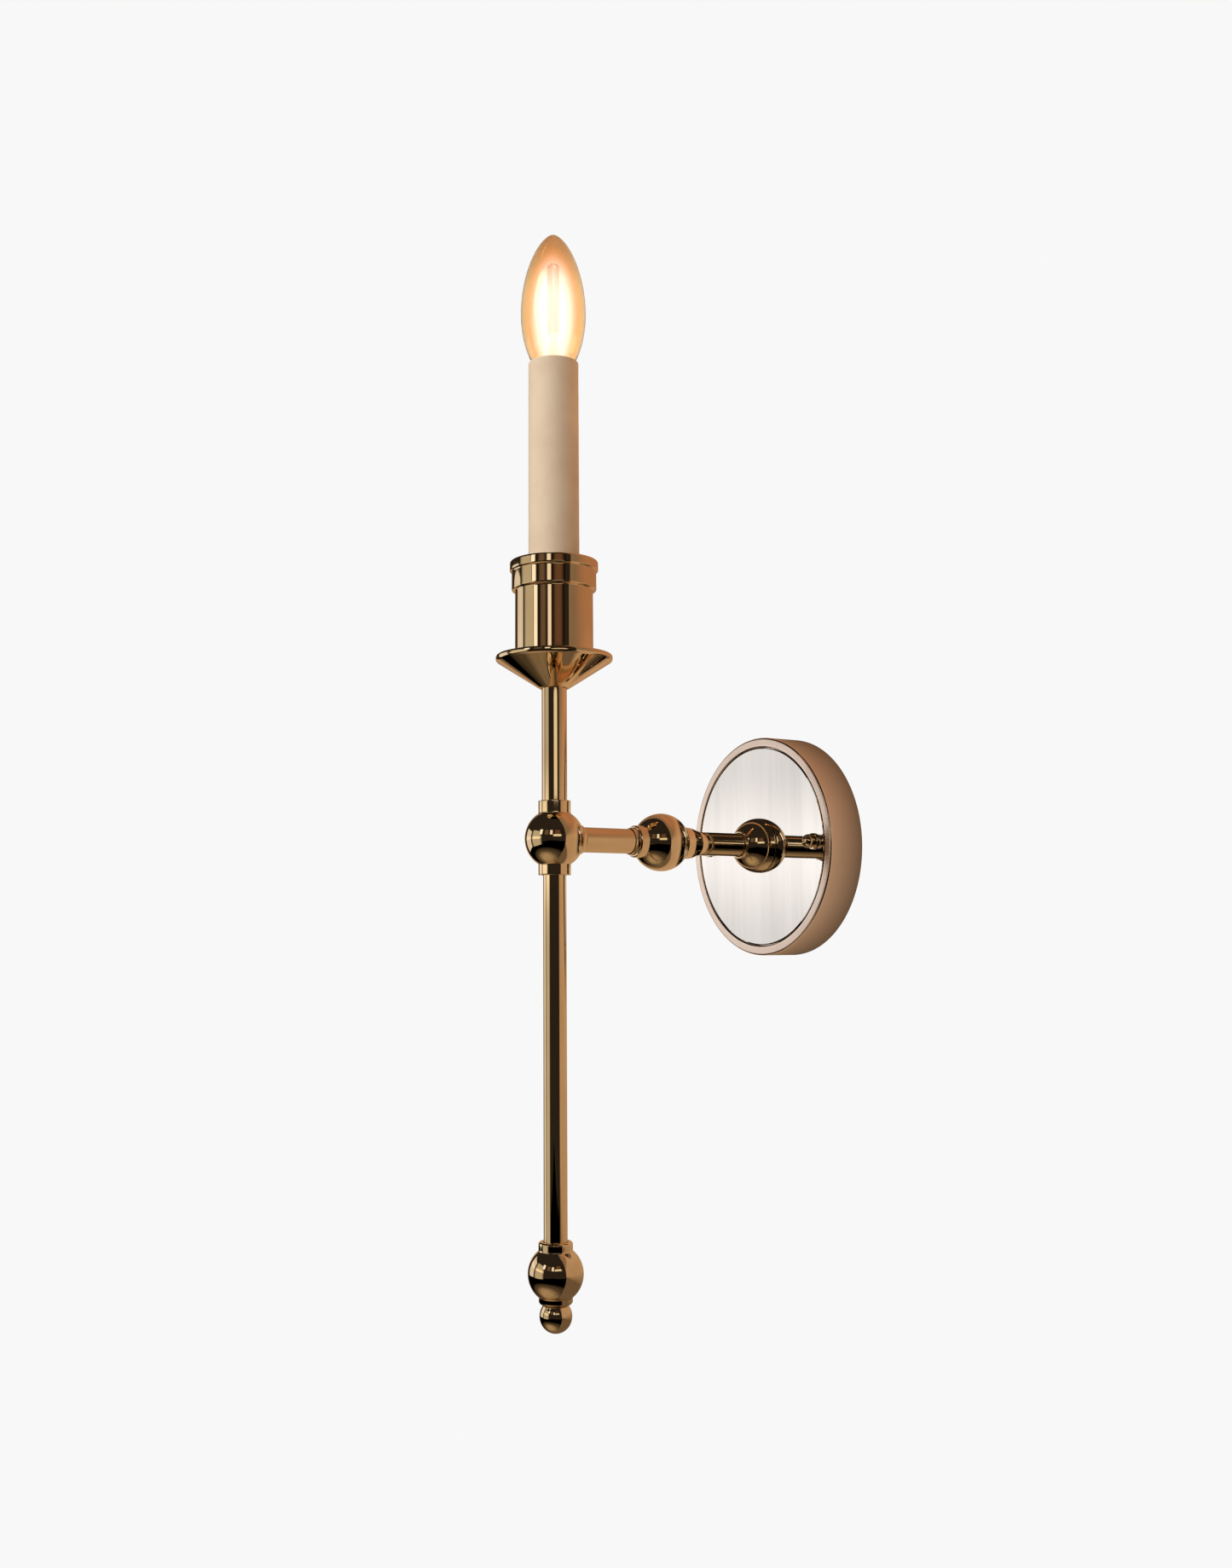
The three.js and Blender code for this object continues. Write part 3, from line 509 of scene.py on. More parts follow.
def cutHoles(piece, radius, places):
    for number, (x, z) in enumerate(places):
        clearSelection()
        bpy.ops.mesh.primitive_cylinder_add(
            vertices=drill["sides"], radius=radius * mm, depth=drill["length"],
            location=(x * mm, drill["middle"], z * mm), rotation=(math.pi / 2, 0, 0))
        bit = bpy.context.object
        makeActive(piece)
        cut = piece.modifiers.new("drill" + str(number), "BOOLEAN")
        cut.operation = "DIFFERENCE"
        cut.object = bit
        bpy.ops.object.modifier_apply(modifier=cut.name)
        bpy.data.objects.remove(bit)
    makeActive(piece)
    bpy.ops.object.shade_smooth_by_angle(angle=smoothBelow)


backPlate = {
    "radius": 60, "depth": 22, "sheet": 1.2, "ringWidth": 5.1, "ringDrop": 1.2, "corner": 1.1, "crown": 0.12,
    "lipSoft": 0.5, "lipDrop": 0.35, "underLip": 1.9, "underRing": 1.6, "floorBehind": 3.7, "bore": 5.3,
    "studSpacing": 92, "studHole": 2.5,
}
studPlaces = [(-backPlate["studSpacing"] / 2, 0), (backPlate["studSpacing"] / 2, 0)]


def makeBackPlate(size):
    radius, depth, sheet, bore, corner = (size[key] for key in ("radius", "depth", "sheet", "bore", "corner"))
    mouth = radius - size["ringWidth"]
    floor = depth - size["floorBehind"]
    shoulder = depth - size["ringDrop"]    # underside of the ring's outer edge
    inside = radius - sheet
    outline = (
        [(inside, 0), (radius, 0)]
        + arc(radius - corner, depth - size["crown"] - corner, corner, 0, 86, 10)
        + [(mouth + size["lipSoft"], depth), (mouth, depth - size["lipDrop"]), (mouth, floor), (bore, floor),
           (bore, floor - sheet), (mouth + sheet, floor - sheet), (mouth + sheet, depth - size["underLip"]),
           (inside, shoulder - size["underRing"])]
    )
    plate = turnPiece("backPlate", outline, upright=False, steps=160)
    cutHoles(plate, size["studHole"], studPlaces)
    finishBrass(plate, plateBrassWithPaintedPinkReflection, "back_plate")


mirrorDisc = {"radius": 54.3, "bore": 5.3, "front": 21.7, "thick": 3, "bevel": 0.45, "bevelDepth": 0.12}


def makeMirror(size):
    radius, bore, front = size["radius"], size["bore"], size["front"]
    back = front - size["thick"]
    outline = [(bore, back), (radius, back), (radius, front - size["bevelDepth"]),
               (radius - size["bevel"], front), (bore, front)]
    mirror = turnPiece("mirrorDisc", outline, upright=False, steps=160, bevel=0)
    cutHoles(mirror, backPlate["studHole"], studPlaces)
    bpy.ops.object.shade_smooth_by_angle(angle=math.radians(12))    # keeps the fine bevel crisp
    finishPiece(mirror, mirrorSilver, "fixture", "mirror", "mirror_disc")


domedNut = {"base": 22, "flange": 4.3, "flangeThick": 0.7, "dome": 3.7, "domeCentre": 3.0, "bore": 2.25,
            "boreDepth": 4.2}


def makeDomedNut(name, side, size):
    base, bore, flange = size["base"], size["bore"], size["flange"]
    flangeTop = base + size["flangeThick"]
    boreEnd = base + size["boreDepth"]
    dome = arc(0, base + size["domeCentre"], size["dome"], -36, 90, 22)
    outline = (
        [(bore, base), (flange, base), (flange, flangeTop)]
        + [point for point in dome if point[1] > flangeTop + 0.05]    # the part that clears the flange
        + [(0, boreEnd), (bore, boreEnd)]
    )
    x = side * backPlate["studSpacing"] / 2 * mm
    nut = turnPiece(name, outline, upright=False, steps=64, centre=(x, armZ), bevel=0.15)
    node, body = ("cap_nut_left", "left_nut") if side < 0 else ("cap_nut_right", "right_nut")
    finishPiece(nut, armBrass, body, "polished_brass", node)


hubBall = {"radius": 15.1, "base": 22, "lip": 7.4, "face": 36.4, "socket": 6.6, "socketFloor": 30,
           "bore": 5.3}


def makeHub(size):
    outline = (
        [(size["bore"], size["base"])]
        + arc(0, size["base"], size["radius"], 0, meetAngle(size["lip"], size["radius"]), 26)
        + [(size["lip"], size["face"]), (size["socket"], size["face"]), (size["socket"], size["socketFloor"]),
           (size["bore"], size["socketFloor"])]
    )
    finishBrass(turnPiece("hubHalfBall", outline, upright=False), armBrass, "hub_half_ball")


tubeWall = 1


def makeArmTube(name, node, radius):
    low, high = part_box(node)
    near, far = -high.y / mm, -low.y / mm
    outline = [(radius - tubeWall, near), (radius, near), (radius, far), (radius - tubeWall, far)]
    finishBrass(turnPiece(name, outline, upright=False, steps=72), armBrass, node)


# stations along the arm are counted from the ball's centre
armBall = {
    "depth": 88, "radius": 15.3, "rim": 8.4, "rimEdge": 17.2, "rimFace": 17.8, "rimSoft": 0.5,
    "neck": 7.0, "neckFoot": 17.9, "neckFrom": 18.2, "neckEnd": 20.3, "neckSoft": 0.2, "wireBore": 4.2,
    "thickSocket": 6.8, "thickFloor": 11.8, "thinSocket": 6.6, "thinFloor": -14.5,
    "taperEnd": -23, "taperLong": 6.4, "taperLip": 6.9, "hollow": 1.4, "taperSteps": 12,
}


def makeArmBall(size):
    centre, rim, neck, wire = size["depth"], size["rim"], size["neck"], size["wireBore"]
    thin, thick = size["thinSocket"], size["thickSocket"]
    taperEnd, thinFloor = centre + size["taperEnd"], centre + size["thinFloor"]
    neckEnd, thickFloor = centre + size["neckEnd"], centre + size["thickFloor"]
    meet = meetAngle(rim, size["radius"])
    lip = size["taperLip"]
    taper = []
    for i in range(size["taperSteps"] + 1):    # the hollow curve that runs down to the thinner tube
        share = i / size["taperSteps"]
        swell = math.sin(share * math.pi / 2) ** size["hollow"]
        taper.append((lip + (rim - lip) * swell, taperEnd + size["taperLong"] * share))
    outline = (
        [(thin, taperEnd)] + taper
        + arc(0, centre, size["radius"], -meet, meet, 44)
        + [(rim, centre + size["rimEdge"]), (rim - size["rimSoft"], centre + size["rimFace"]),
           (neck + size["neckSoft"], centre + size["neckFoot"]), (neck, centre + size["neckFrom"]),
           (neck, neckEnd), (thick, neckEnd), (thick, thickFloor), (wire, thickFloor), (wire, thinFloor),
           (thin, thinFloor)]
    )
    finishBrass(turnPiece("armBall", outline, upright=False), armBrass, "arm_ball")


teeBall = {"radius": 15.3, "collar": 8.3, "top": 19.4, "bottom": -18.4, "topSocket": 6.8, "lowSocket": 6.2,
           "socketDepth": 8.5, "wireBore": 4.2}


def makeTee(size):
    collar, wire, top, bottom = size["collar"], size["wireBore"], size["top"], size["bottom"]
    topFloor, lowFloor = top - size["socketDepth"], bottom + size["socketDepth"]
    meet = meetAngle(collar, size["radius"])
    outline = (
        [(size["lowSocket"], bottom), (collar, bottom)]
        + arc(0, 0, size["radius"], -meet, meet, 44)
        + [(collar, top), (size["topSocket"], top), (size["topSocket"], topFloor), (wire, topFloor),
           (wire, lowFloor), (size["lowSocket"], lowFloor)]
    )
    finishBrass(turnPiece("teeBall", outline, upright=True), uprightBrass, "tee_ball")


# the lip soldered into the tee where the arm enters it
teeLip = {"radius": 7.6, "socket": 6.75, "reach": 15.4, "rootIn": 12.4, "edge": 0.3, "edgeLong": 0.4}


def makeTeeLip(size):
    stem = -stemY / mm
    front, root = stem - size["reach"], stem - size["rootIn"]
    outline = [(size["socket"], front), (size["radius"] - size["edge"], front),
               (size["radius"], front + size["edgeLong"]), (size["radius"], root), (size["socket"], root)]
    finishBrass(turnPiece("teeLip", outline, upright=False, steps=72, bevel=0.12), armBrass)


def makeStemTube(name, node, radius):
    low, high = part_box(node)
    bottom, top = low.z / mm, high.z / mm
    outline = [(radius - tubeWall, bottom), (radius, bottom), (radius, top), (radius - tubeWall, top)]
    finishBrass(turnPiece(name, outline, upright=True, steps=72), uprightBrass, node)


finialBall = {"radius": 13.7, "centre": -211.9, "upper": 8.45, "lower": 8.3, "top": -196.8, "base": -225.9,
              "socket": 6.2, "socketEnd": -203.8, "thread": 3.3, "topEdge": 0.7, "lowEdge": 0.8,
              "lowEdgeLong": 0.9}


def makeFinialBall(size):
    radius, upper, lower, top, base = (size[key] for key in ("radius", "upper", "lower", "top", "base"))
    outline = (
        [(size["thread"], base), (lower - size["lowEdge"], base), (lower, base + size["lowEdgeLong"])]
        + arc(0, size["centre"], radius, -meetAngle(lower, radius), meetAngle(upper, radius), 44)
        + [(upper, top - size["topEdge"]), (upper - size["topEdge"], top), (size["socket"], top),
           (size["socket"], size["socketEnd"]), (size["thread"], size["socketEnd"])]
    )
    finishBrass(turnPiece("finialBall", outline, upright=True), uprightBrass, "finial_ball")


finialTip = {"radius": 8.0, "centre": -231.6, "neck": 6.6, "neckIn": 0.15, "shoulder": -226.2, "edge": 0.5,
             "spigot": 3.0, "spigotTop": -214.2}


def makeFinialTip(size):
    neck, shoulder, spigot = size["neck"], size["shoulder"], size["spigot"]
    outline = (
        arc(0, size["centre"], size["radius"], -90, meetAngle(neck, size["radius"]), 34)
        + [(neck - size["neckIn"], shoulder - size["edge"]), (neck - size["edge"], shoulder),
           (spigot, shoulder), (spigot, size["spigotTop"]), (0, size["spigotTop"])]
    )
    tip = turnPiece("finialTip", outline, upright=True, closed=False, steps=80)
    finishBrass(tip, uprightBrass, "finial_tip")


dripPan = {"radius": 30.4, "top": 94.9, "bottom": 77.6, "floor": 93.4, "socket": 6.8, "socketDepth": 7,
           "neckWall": 0.9, "bore": 5.3, "rimThick": 2.6}


def makePan(size):
    rim, top, bottom, floor, socket = (size[key] for key in ("radius", "top", "bottom", "floor", "socket"))
    rimFoot = top - size["rimThick"]
    socketFloor = bottom + size["socketDepth"]
    rolledRim = [(rim - 0.6, rimFoot - 0.5), (rim - 0.15, rimFoot), (rim, rimFoot + 0.6), (rim, top - 0.9),
                 (rim - 0.2, top - 0.3), (rim - 0.7, top), (rim - 1.4, top), (rim - 2.2, floor)]
    outline = (
        [(socket, bottom), (socket + size["neckWall"], bottom)] + rolledRim
        + [(size["bore"], floor), (size["bore"], socketFloor), (socket, socketFloor)]
    )
    finishBrass(turnPiece("dripPan", outline, upright=True, steps=128), uprightBrass, "drip_pan")


candleCup = {
    "radius": 20.4, "bore": 19.4, "wireBore": 5.3, "bottom": 93.7, "floor": 95.2, "footEdge": 0.4,
    "bandFrom": 129.3, "band": 22.2, "bandRound": 0.9, "rimFrom": 139.6, "rim": 23.2, "rimRound": 0.8,
    "mouthRound": 1.1, "top": 144.9, "mouthEdge": 0.6,
}


def makeCup(size):
    radius, bore, wire, bottom, top = (size[key] for key in ("radius", "bore", "wireBore", "bottom", "top"))
    footEdge, mouthEdge, bandRound, rimRound, mouthRound = (
        size[key] for key in ("footEdge", "mouthEdge", "bandRound", "rimRound", "mouthRound"))
    band = [(radius, size["bandFrom"] - 0.3), (radius + 0.3, size["bandFrom"])]
    band += arc(size["band"] - bandRound, size["bandFrom"] + bandRound, bandRound, -78, 0, 6)
    rimLow = [(size["band"], size["rimFrom"] - 0.2)]
    rimLow += arc(size["rim"] - rimRound, size["rimFrom"] + rimRound, rimRound, -75, 0, 6)
    rimHigh = arc(size["rim"] - mouthRound, top - mouthRound, mouthRound, 0, 84, 8)
    outline = (
        [(wire, bottom), (radius - footEdge, bottom), (radius, bottom + footEdge)]
        + band + rimLow + rimHigh
        + [(bore + mouthEdge, top), (bore, top - mouthEdge), (bore, size["floor"]), (wire, size["floor"])]
    )
    finishBrass(turnPiece("candleCup", outline, upright=True, steps=128), uprightBrass, "candle_cup")


candleSleeve = {"radius": 13.4, "bore": 12.5, "rings": 16, "ripple": 0.04, "plainTop": 1.2, "mouthRound": 0.6}


def makeSleeve(size):
    low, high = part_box("candle_sleeve")
    bottom, top = low.z / mm, high.z / mm
    radius, bore, mouthRound = size["radius"], size["bore"], size["mouthRound"]
    pitch = (top - bottom - size["plainTop"]) / size["rings"]
    side = [(radius - size["ripple"] * (i % 2), bottom + pitch * i) for i in range(size["rings"] + 1)]
    outline = (
        [(bore, bottom)] + side
        + arc(radius - mouthRound, top - mouthRound, mouthRound, 10, 90, 7)
        + [(bore + 0.05, top - 0.02), (bore, top - 0.15)]
    )
    sleeve = turnPiece("candleSleeve", outline, upright=True, steps=112, bevel=0)
    finishPiece(sleeve, creamSleeve, "sleeve", "cream_sleeve", "candle_sleeve")


bulbShape = {
    "radius": 17.5, "widest": 282.6, "tip": 327.7, "lowerHalf": 36.5, "neck": 7.9, "neckEnd": 253.9,
    "wall": 0.55, "shoulder": 10.0, "shoulderRise": 0.7, "flankFrom": 256, "tipThick": 0.6, "tipWall": 0.25,
}


def glassRadius(size, height):
    drop = size["widest"] - height
    if drop > 0:
        return size["radius"] * math.sqrt(1 - (drop / size["lowerHalf"]) ** 2)
    rise = -drop / (size["tip"] - size["widest"])
    return size["radius"] * max(0.0, 1 - rise ** 1.9) ** 0.62


def makeBulbGlass(size):
    outside = [(size["neck"], size["neckEnd"]), (size["shoulder"], size["neckEnd"] + size["shoulderRise"])]
    flank = size["tip"] - size["tipThick"] - size["flankFrom"]
    heights = [size["flankFrom"] + flank * math.sin(i / 48 * math.pi / 2) for i in range(49)]
    outside += [(glassRadius(size, height), height) for height in heights]
    inside = [(radius - size["wall"], height) for radius, height in outside if radius > 1.6]
    inside.reverse()
    outline = outside + [(0, size["tip"]), (0, inside[0][1] + size["tipWall"])] + inside
    glass = turnPiece("bulbGlass", outline, upright=True, steps=96, bevel=0)
    bpy.ops.object.shade_smooth()
    finishPiece(glass, bulbGlass, "bulb", "bulb_glass", "bulb_glass")


lampGlare = {"skins": 16, "outer": 0.86, "inner": 0.30, "bottom": 254.9, "bottomStep": 0.1, "lowRings": 9,
             "highRings": 12}


# thin closed skins one inside the next, each the glass's own shape at a smaller share of its width
def makeGlare(size, bulb):
    skins = []
    widest = bulb["widest"]
    upper = bulb["tip"] - widest
    for number in range(size["skins"]):
        share = size["outer"] + (size["inner"] - size["outer"]) * number / (size["skins"] - 1)
        bottom = size["bottom"] + size["bottomStep"] * number
        outline = [(0, bottom)]
        for i in range(size["lowRings"]):
            height = bottom + (widest - bottom) * i / size["lowRings"]
            outline.append((share * glassRadius(bulb, height), height))
        for i in range(size["highRings"]):
            rise = upper * math.sin(i / size["highRings"] * math.pi / 2)
            outline.append((share * glassRadius(bulb, widest + rise), widest + rise * share))
        outline.append((0, widest + upper * share))
        name = "glareSkin" + str(number)
        skins.append(turnPiece(name, outline, upright=True, closed=False, steps=40, bevel=0))
    clearSelection()
    for skin in skins:
        skin.select_set(True)
    bpy.context.view_layer.objects.active = skins[0]
    bpy.ops.object.join()
    skins[0].name = "filamentGlare"
    bpy.ops.object.shade_smooth()
    finishPiece(skins[0], glareMaterial(bulb, glareLook), "bulb", "filament")


makeBackPlate(backPlate)
makeMirror(mirrorDisc)
makeDomedNut("domedNutLeft", -1, domedNut)
makeDomedNut("domedNutRight", 1, domedNut)
print("plate made")
makeHub(hubBall)
makeArmTube("innerArmTube", "arm_tube_inner", 6.3)
makeArmBall(armBall)
makeArmTube("outerArmTube", "arm_tube_outer", 6.5)
print("arm made")
makeTee(teeBall)
makeTeeLip(teeLip)
makeStemTube("upperStem", "stem_tube_upper", 6.5)
makeStemTube("lowerStem", "stem_tube_lower", 5.9)
makeFinialBall(finialBall)
makeFinialTip(finialTip)
print("stem made")
makePan(dripPan)
makeCup(candleCup)
makeSleeve(candleSleeve)
makeBulbGlass(bulbShape)
makeGlare(lampGlare, bulbShape)
print("candle made")


nodeFinish = {
    zincSteel: ["wall_bracket", "stud_left", "stud_right", "terminal_screw_1", "terminal_screw_2",
                "terminal_screw_3", "hub_nipple", "nipple_washer", "nipple_nut", "holder_tube", "cup_washer",
                "cup_nut"],
    uprightBrass: ["earth_screw", "holder_shell", "holder_contact"],
    whitePlastic: ["terminal_block", "lamp_holder"],
    flexSheath: ["inner_flex"],
    nickelPlate: ["bulb_cap", "bulb_contact", "filament_ring_lower", "filament_ring_upper"],
    blackGlass: ["bulb_insulator"],
    bulbGlass: ["bulb_stem"],
    litFilament: ["filament_1", "filament_2", "filament_3", "filament_4"],
}
for material, names in nodeFinish.items():
    for name in names:
        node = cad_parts[name]
        node.data.materials.clear()
        node.data.materials.append(material)
print("nodes finished")


# upright cards stand round the lamp. Each is set by its angles round the stem,
# 0 straight out from the wall and positive towards +X, and by its angles of height.
cards = {
    "windowCard": {
        "turn": (-79, -42), "rise": (-19, 19), "far": 1.3,
        "colour": (1.0, 0.97, 0.945), "power": 1.05, "fade": 0.25, "middle": 1.14, "ends": 0.84,
    },
    "warmCard": {
        "turn": (-42, 10), "rise": (-21, 24), "far": 1.25,
        "colour": (0.98, 0.91, 0.73), "power": 0.98, "fade": 0.5, "middle": 1.4, "ends": 0.62,
    },
    "keyCard": {
        "turn": (-4, 11), "rise": (13.8, 30), "far": 1.2,
        "colour": (1.0, 0.98, 0.96), "power": 1.4, "fade": 0.5, "middle": 1.0, "ends": 1.0,
    },
    "brownCard": {
        "turn": (14, 40), "rise": (13, 30), "far": 1.45,
        "colour": (1.0, 0.68, 0.46), "power": 0.16, "fade": 0.8, "middle": 1.0, "ends": 1.0,
    },
    "thinCard": {
        "turn": (39, 53), "rise": (13.3, 30), "far": 1.6,
        "colour": (1.0, 0.95, 0.86), "power": 1.1, "fade": 0.6, "middle": 1.0, "ends": 1.0,
    },
    "redCard": {
        "turn": (53, 89), "rise": (16.5, 30), "far": 0.85,
        "colour": (1.0, 0.52, 0.30), "power": 0.15, "fade": 0.8, "middle": 1.0, "ends": 1.0,
    },
    "sideCard": {
        "turn": (51, 88), "rise": (6.4, 14.4), "far": 0.8,
        "colour": (1.0, 0.92, 0.72), "power": 0.98, "fade": 0.4, "middle": 1.0, "ends": 1.0,
    },
}
cardHeart = {"height": 0.068, "reach": 0.13}    # the cards are brightest or dimmest at this height


# plain sheer cloth in front of a window, fading out at its upright edges
def cardMaterial(name, card, along, middle, half):
    material, tree, output = newMaterial(name)
    where = put(tree, "ShaderNodeTexCoord", -700, 0)
    folds = put(tree, "ShaderNodeMapping", -500, 0)
    folds.inputs["Scale"].default_value = (9, 9, 0.35)
    sheer = fill(put(tree, "ShaderNodeTexNoise", -300, 0), Scale=3.0, Detail=6.0, Roughness=0.6)
    share = ramp(tree, -100, 0, 0.3, 0.7, 0.84, 1.0)
    apart = put(tree, "ShaderNodeSeparateXYZ", -500, -300)
    band = put(tree, "ShaderNodeMath", -300, -300, operation="SUBTRACT")
    band.inputs[1].default_value = cardHeart["height"]
    away = put(tree, "ShaderNodeMath", -150, -300, operation="ABSOLUTE")
    bright = ramp(tree, 0, -300, end=cardHeart["reach"], first=card["middle"], last=card["ends"])
    bright.interpolation_type = "SMOOTHSTEP"
    both = put(tree, "ShaderNodeMath", 60, -150, operation="MULTIPLY")
    strength = put(tree, "ShaderNodeMath", 100, -80, operation="MULTIPLY")
    strength.inputs[1].default_value = card["power"]
    across = put(tree, "ShaderNodeVectorMath", -500, -520, operation="DOT_PRODUCT")
    across.inputs[1].default_value = along
    offset = put(tree, "ShaderNodeMath", -300, -520, operation="SUBTRACT")
    offset.inputs[1].default_value = middle
    aside = put(tree, "ShaderNodeMath", -150, -520, operation="ABSOLUTE")
    edge = ramp(tree, 0, -520, half * (1 - card["fade"]), half, 1.0, 0.0)
    edge.interpolation_type = "SMOOTHSTEP"
    faded = put(tree, "ShaderNodeMath", 200, -200, operation="MULTIPLY")
    light = put(tree, "ShaderNodeEmission", 400, 0)
    light.inputs["Color"].default_value = rgb(*card["colour"])
    link = tree.links.new
    link(where.outputs["Object"], folds.inputs["Vector"])
    link(folds.outputs["Vector"], sheer.inputs["Vector"])
    link(sheer.outputs["Fac"], share.inputs["Value"])
    link(where.outputs["Object"], apart.inputs["Vector"])
    link(apart.outputs["Z"], band.inputs[0])
    link(band.outputs[0], away.inputs[0])
    link(away.outputs[0], bright.inputs["Value"])
    link(share.outputs["Result"], both.inputs[0])
    link(bright.outputs["Result"], both.inputs[1])
    link(where.outputs["Object"], across.inputs[0])
    link(across.outputs["Value"], offset.inputs[0])
    link(offset.outputs[0], aside.inputs[0])
    link(aside.outputs[0], edge.inputs["Value"])
    link(both.outputs[0], faded.inputs[0])
    link(edge.outputs["Result"], faded.inputs[1])
    link(faded.outputs[0], strength.inputs[0])
    link(strength.outputs[0], light.inputs["Strength"])
    link(light.outputs["Emission"], output.inputs["Surface"])
    return material


def addCard(name, card):
    clearSelection()
    middle = math.radians(sum(card["turn"]) / 2)
    width = 2 * card["far"] * math.tan(math.radians(card["turn"][1] - card["turn"][0]) / 2)
    low = card["far"] * math.tan(math.radians(card["rise"][0]))
    high = card["far"] * math.tan(math.radians(card["rise"][1]))
    outX, outY = card["far"] * math.sin(middle), -card["far"] * math.cos(middle)
    place = Vector((stemX + outX, stemY + outY, (low + high) / 2))
    bpy.ops.mesh.primitive_plane_add(size=1, location=place, rotation=(math.pi / 2, 0, middle))
    sheet = bpy.context.object
    sheet.name = name
    sheet.scale = (width, high - low, 1)
    bpy.ops.object.transform_apply(location=True, rotation=True, scale=True)
    along = Vector((math.cos(middle), math.sin(middle), 0))
    sheet.data.materials.append(cardMaterial(name, card, along, along.dot(place), width / 2))
    sheet.visible_camera = False


for name, card in cards.items():
    addCard(name, card)

# the room's own wall, seen only in the polish: beige, with a painted pool of the bulb's warm light near the
# bulb, painted shade close to the plate, and painted darkening well above the arm and low down
wallCard = {
    "left": -1.6, "right": 0.70, "low": -1.2, "high": 1.3, "behind": 0.002,
    # warm is the painted colour of the bulb's light; plateShade, furtherShade, above and below set painted
    # shade
    "warm": (0.84, 0.40, 0.21), "beige": (0.44, 0.31, 0.20), "heart": 0.02, "reach": 0.34,
    "plateEdge": (0.061, 0.095), "plateShade": (0.32, 1.25), "furtherOut": (0.10, 0.17), "furtherShade": 0.9,
    "aboveArm": (0.03, 0.14), "above": 0.52, "lowDown": (-0.29, -0.22), "below": 0.34,
}


def wallMaterial(card):
    material, tree, output = newMaterial("roomWall")
    where = put(tree, "ShaderNodeTexCoord", -900, 0)
    toBulb = put(tree, "ShaderNodeVectorMath", -700, 100, operation="DISTANCE")
    toBulb.inputs[1].default_value = (0, 0, bulbShape["widest"] * mm)
    toPlate = put(tree, "ShaderNodeVectorMath", -700, -120, operation="LENGTH")
    # painted pool of the bulb's warm light, fading out from near the bulb
    glow = ramp(tree, -480, 100, card["heart"], card["reach"], 1.0, 0.0)
    glow.interpolation_type = "SMOOTHSTEP"
    # painted shade close to the plate, a brighter band just outside it, and a little dimmer further out
    shade = ramp(tree, -480, -120, *card["plateEdge"], *card["plateShade"])
    further = ramp(tree, -480, 320, *card["furtherOut"], 1.0, card["furtherShade"])
    plaster = fill(put(tree, "ShaderNodeTexNoise", -700, -360), Scale=7.0, Detail=5.0)
    uneven = ramp(tree, -480, -360, first=0.85, last=1.15)
    hue = put(tree, "ShaderNodeMix", -220, 100, data_type="RGBA")
    hue.inputs["A"].default_value = rgb(*card["beige"])
    hue.inputs["B"].default_value = rgb(*card["warm"])
    shaded = put(tree, "ShaderNodeMath", -220, -150, operation="MULTIPLY")
    height = put(tree, "ShaderNodeSeparateXYZ", -700, -560)
    # painted darkening well above the arm and low down
    upper = ramp(tree, -480, -560, *card["aboveArm"], 1.0, card["above"])
    lower = ramp(tree, -480, -800, *card["lowDown"], card["below"], 1.0)
    level = put(tree, "ShaderNodeMath", -300, -640, operation="MULTIPLY")
    levelled = put(tree, "ShaderNodeMath", -120, -300, operation="MULTIPLY")
    power = put(tree, "ShaderNodeMath", -20, -150, operation="MULTIPLY")
    light = put(tree, "ShaderNodeEmission", 300, 0)
    link = tree.links.new
    link(where.outputs["Object"], toBulb.inputs[0])
    link(where.outputs["Object"], toPlate.inputs[0])
    link(toBulb.outputs["Value"], glow.inputs["Value"])
    link(toPlate.outputs["Value"], shade.inputs["Value"])
    link(where.outputs["Object"], plaster.inputs["Vector"])
    link(plaster.outputs["Fac"], uneven.inputs["Value"])
    link(glow.outputs["Result"], hue.inputs["Factor"])
    link(shade.outputs["Result"], shaded.inputs[0])
    link(uneven.outputs["Result"], shaded.inputs[1])
    link(where.outputs["Object"], height.inputs["Vector"])
    link(height.outputs["Z"], upper.inputs["Value"])
    link(height.outputs["Z"], lower.inputs["Value"])
    link(upper.outputs["Result"], level.inputs[0])
    link(lower.outputs["Result"], level.inputs[1])
    link(toPlate.outputs["Value"], further.inputs["Value"])
    link(further.outputs["Result"], power.inputs[1])
    link(shaded.outputs[0], levelled.inputs[0])
    link(level.outputs[0], levelled.inputs[1])
    link(levelled.outputs[0], power.inputs[0])
    link(hue.outputs["Result"], light.inputs["Color"])
    link(power.outputs[0], light.inputs["Strength"])
    link(light.outputs["Emission"], output.inputs["Surface"])
    return material


def addWallCard(card):
    clearSelection()
    place = ((card["left"] + card["right"]) / 2, card["behind"], (card["low"] + card["high"]) / 2)
    bpy.ops.mesh.primitive_plane_add(size=1, location=place, rotation=(math.pi / 2, 0, 0))
    wall = bpy.context.object
    wall.name = "wallCard"
    wall.scale = (card["right"] - card["left"], card["high"] - card["low"], 1)
    bpy.ops.object.transform_apply(location=True, rotation=True, scale=True)
    wall.data.materials.append(wallMaterial(card))
    wall.visible_camera = False
    wall.visible_transmission = False


addWallCard(wallCard)

studioFloor = {
    "height": -1.2, "size": 12.0, "pale": (0.939, 0.939, 0.939), "tan": (0.80, 0.60, 0.38),
    "heart": (-0.18, -0.52), "patch": (0.2625, 0.75), "patchPower": 0.36, "around": (0.5, 1.5), "glow": 0.34,
}


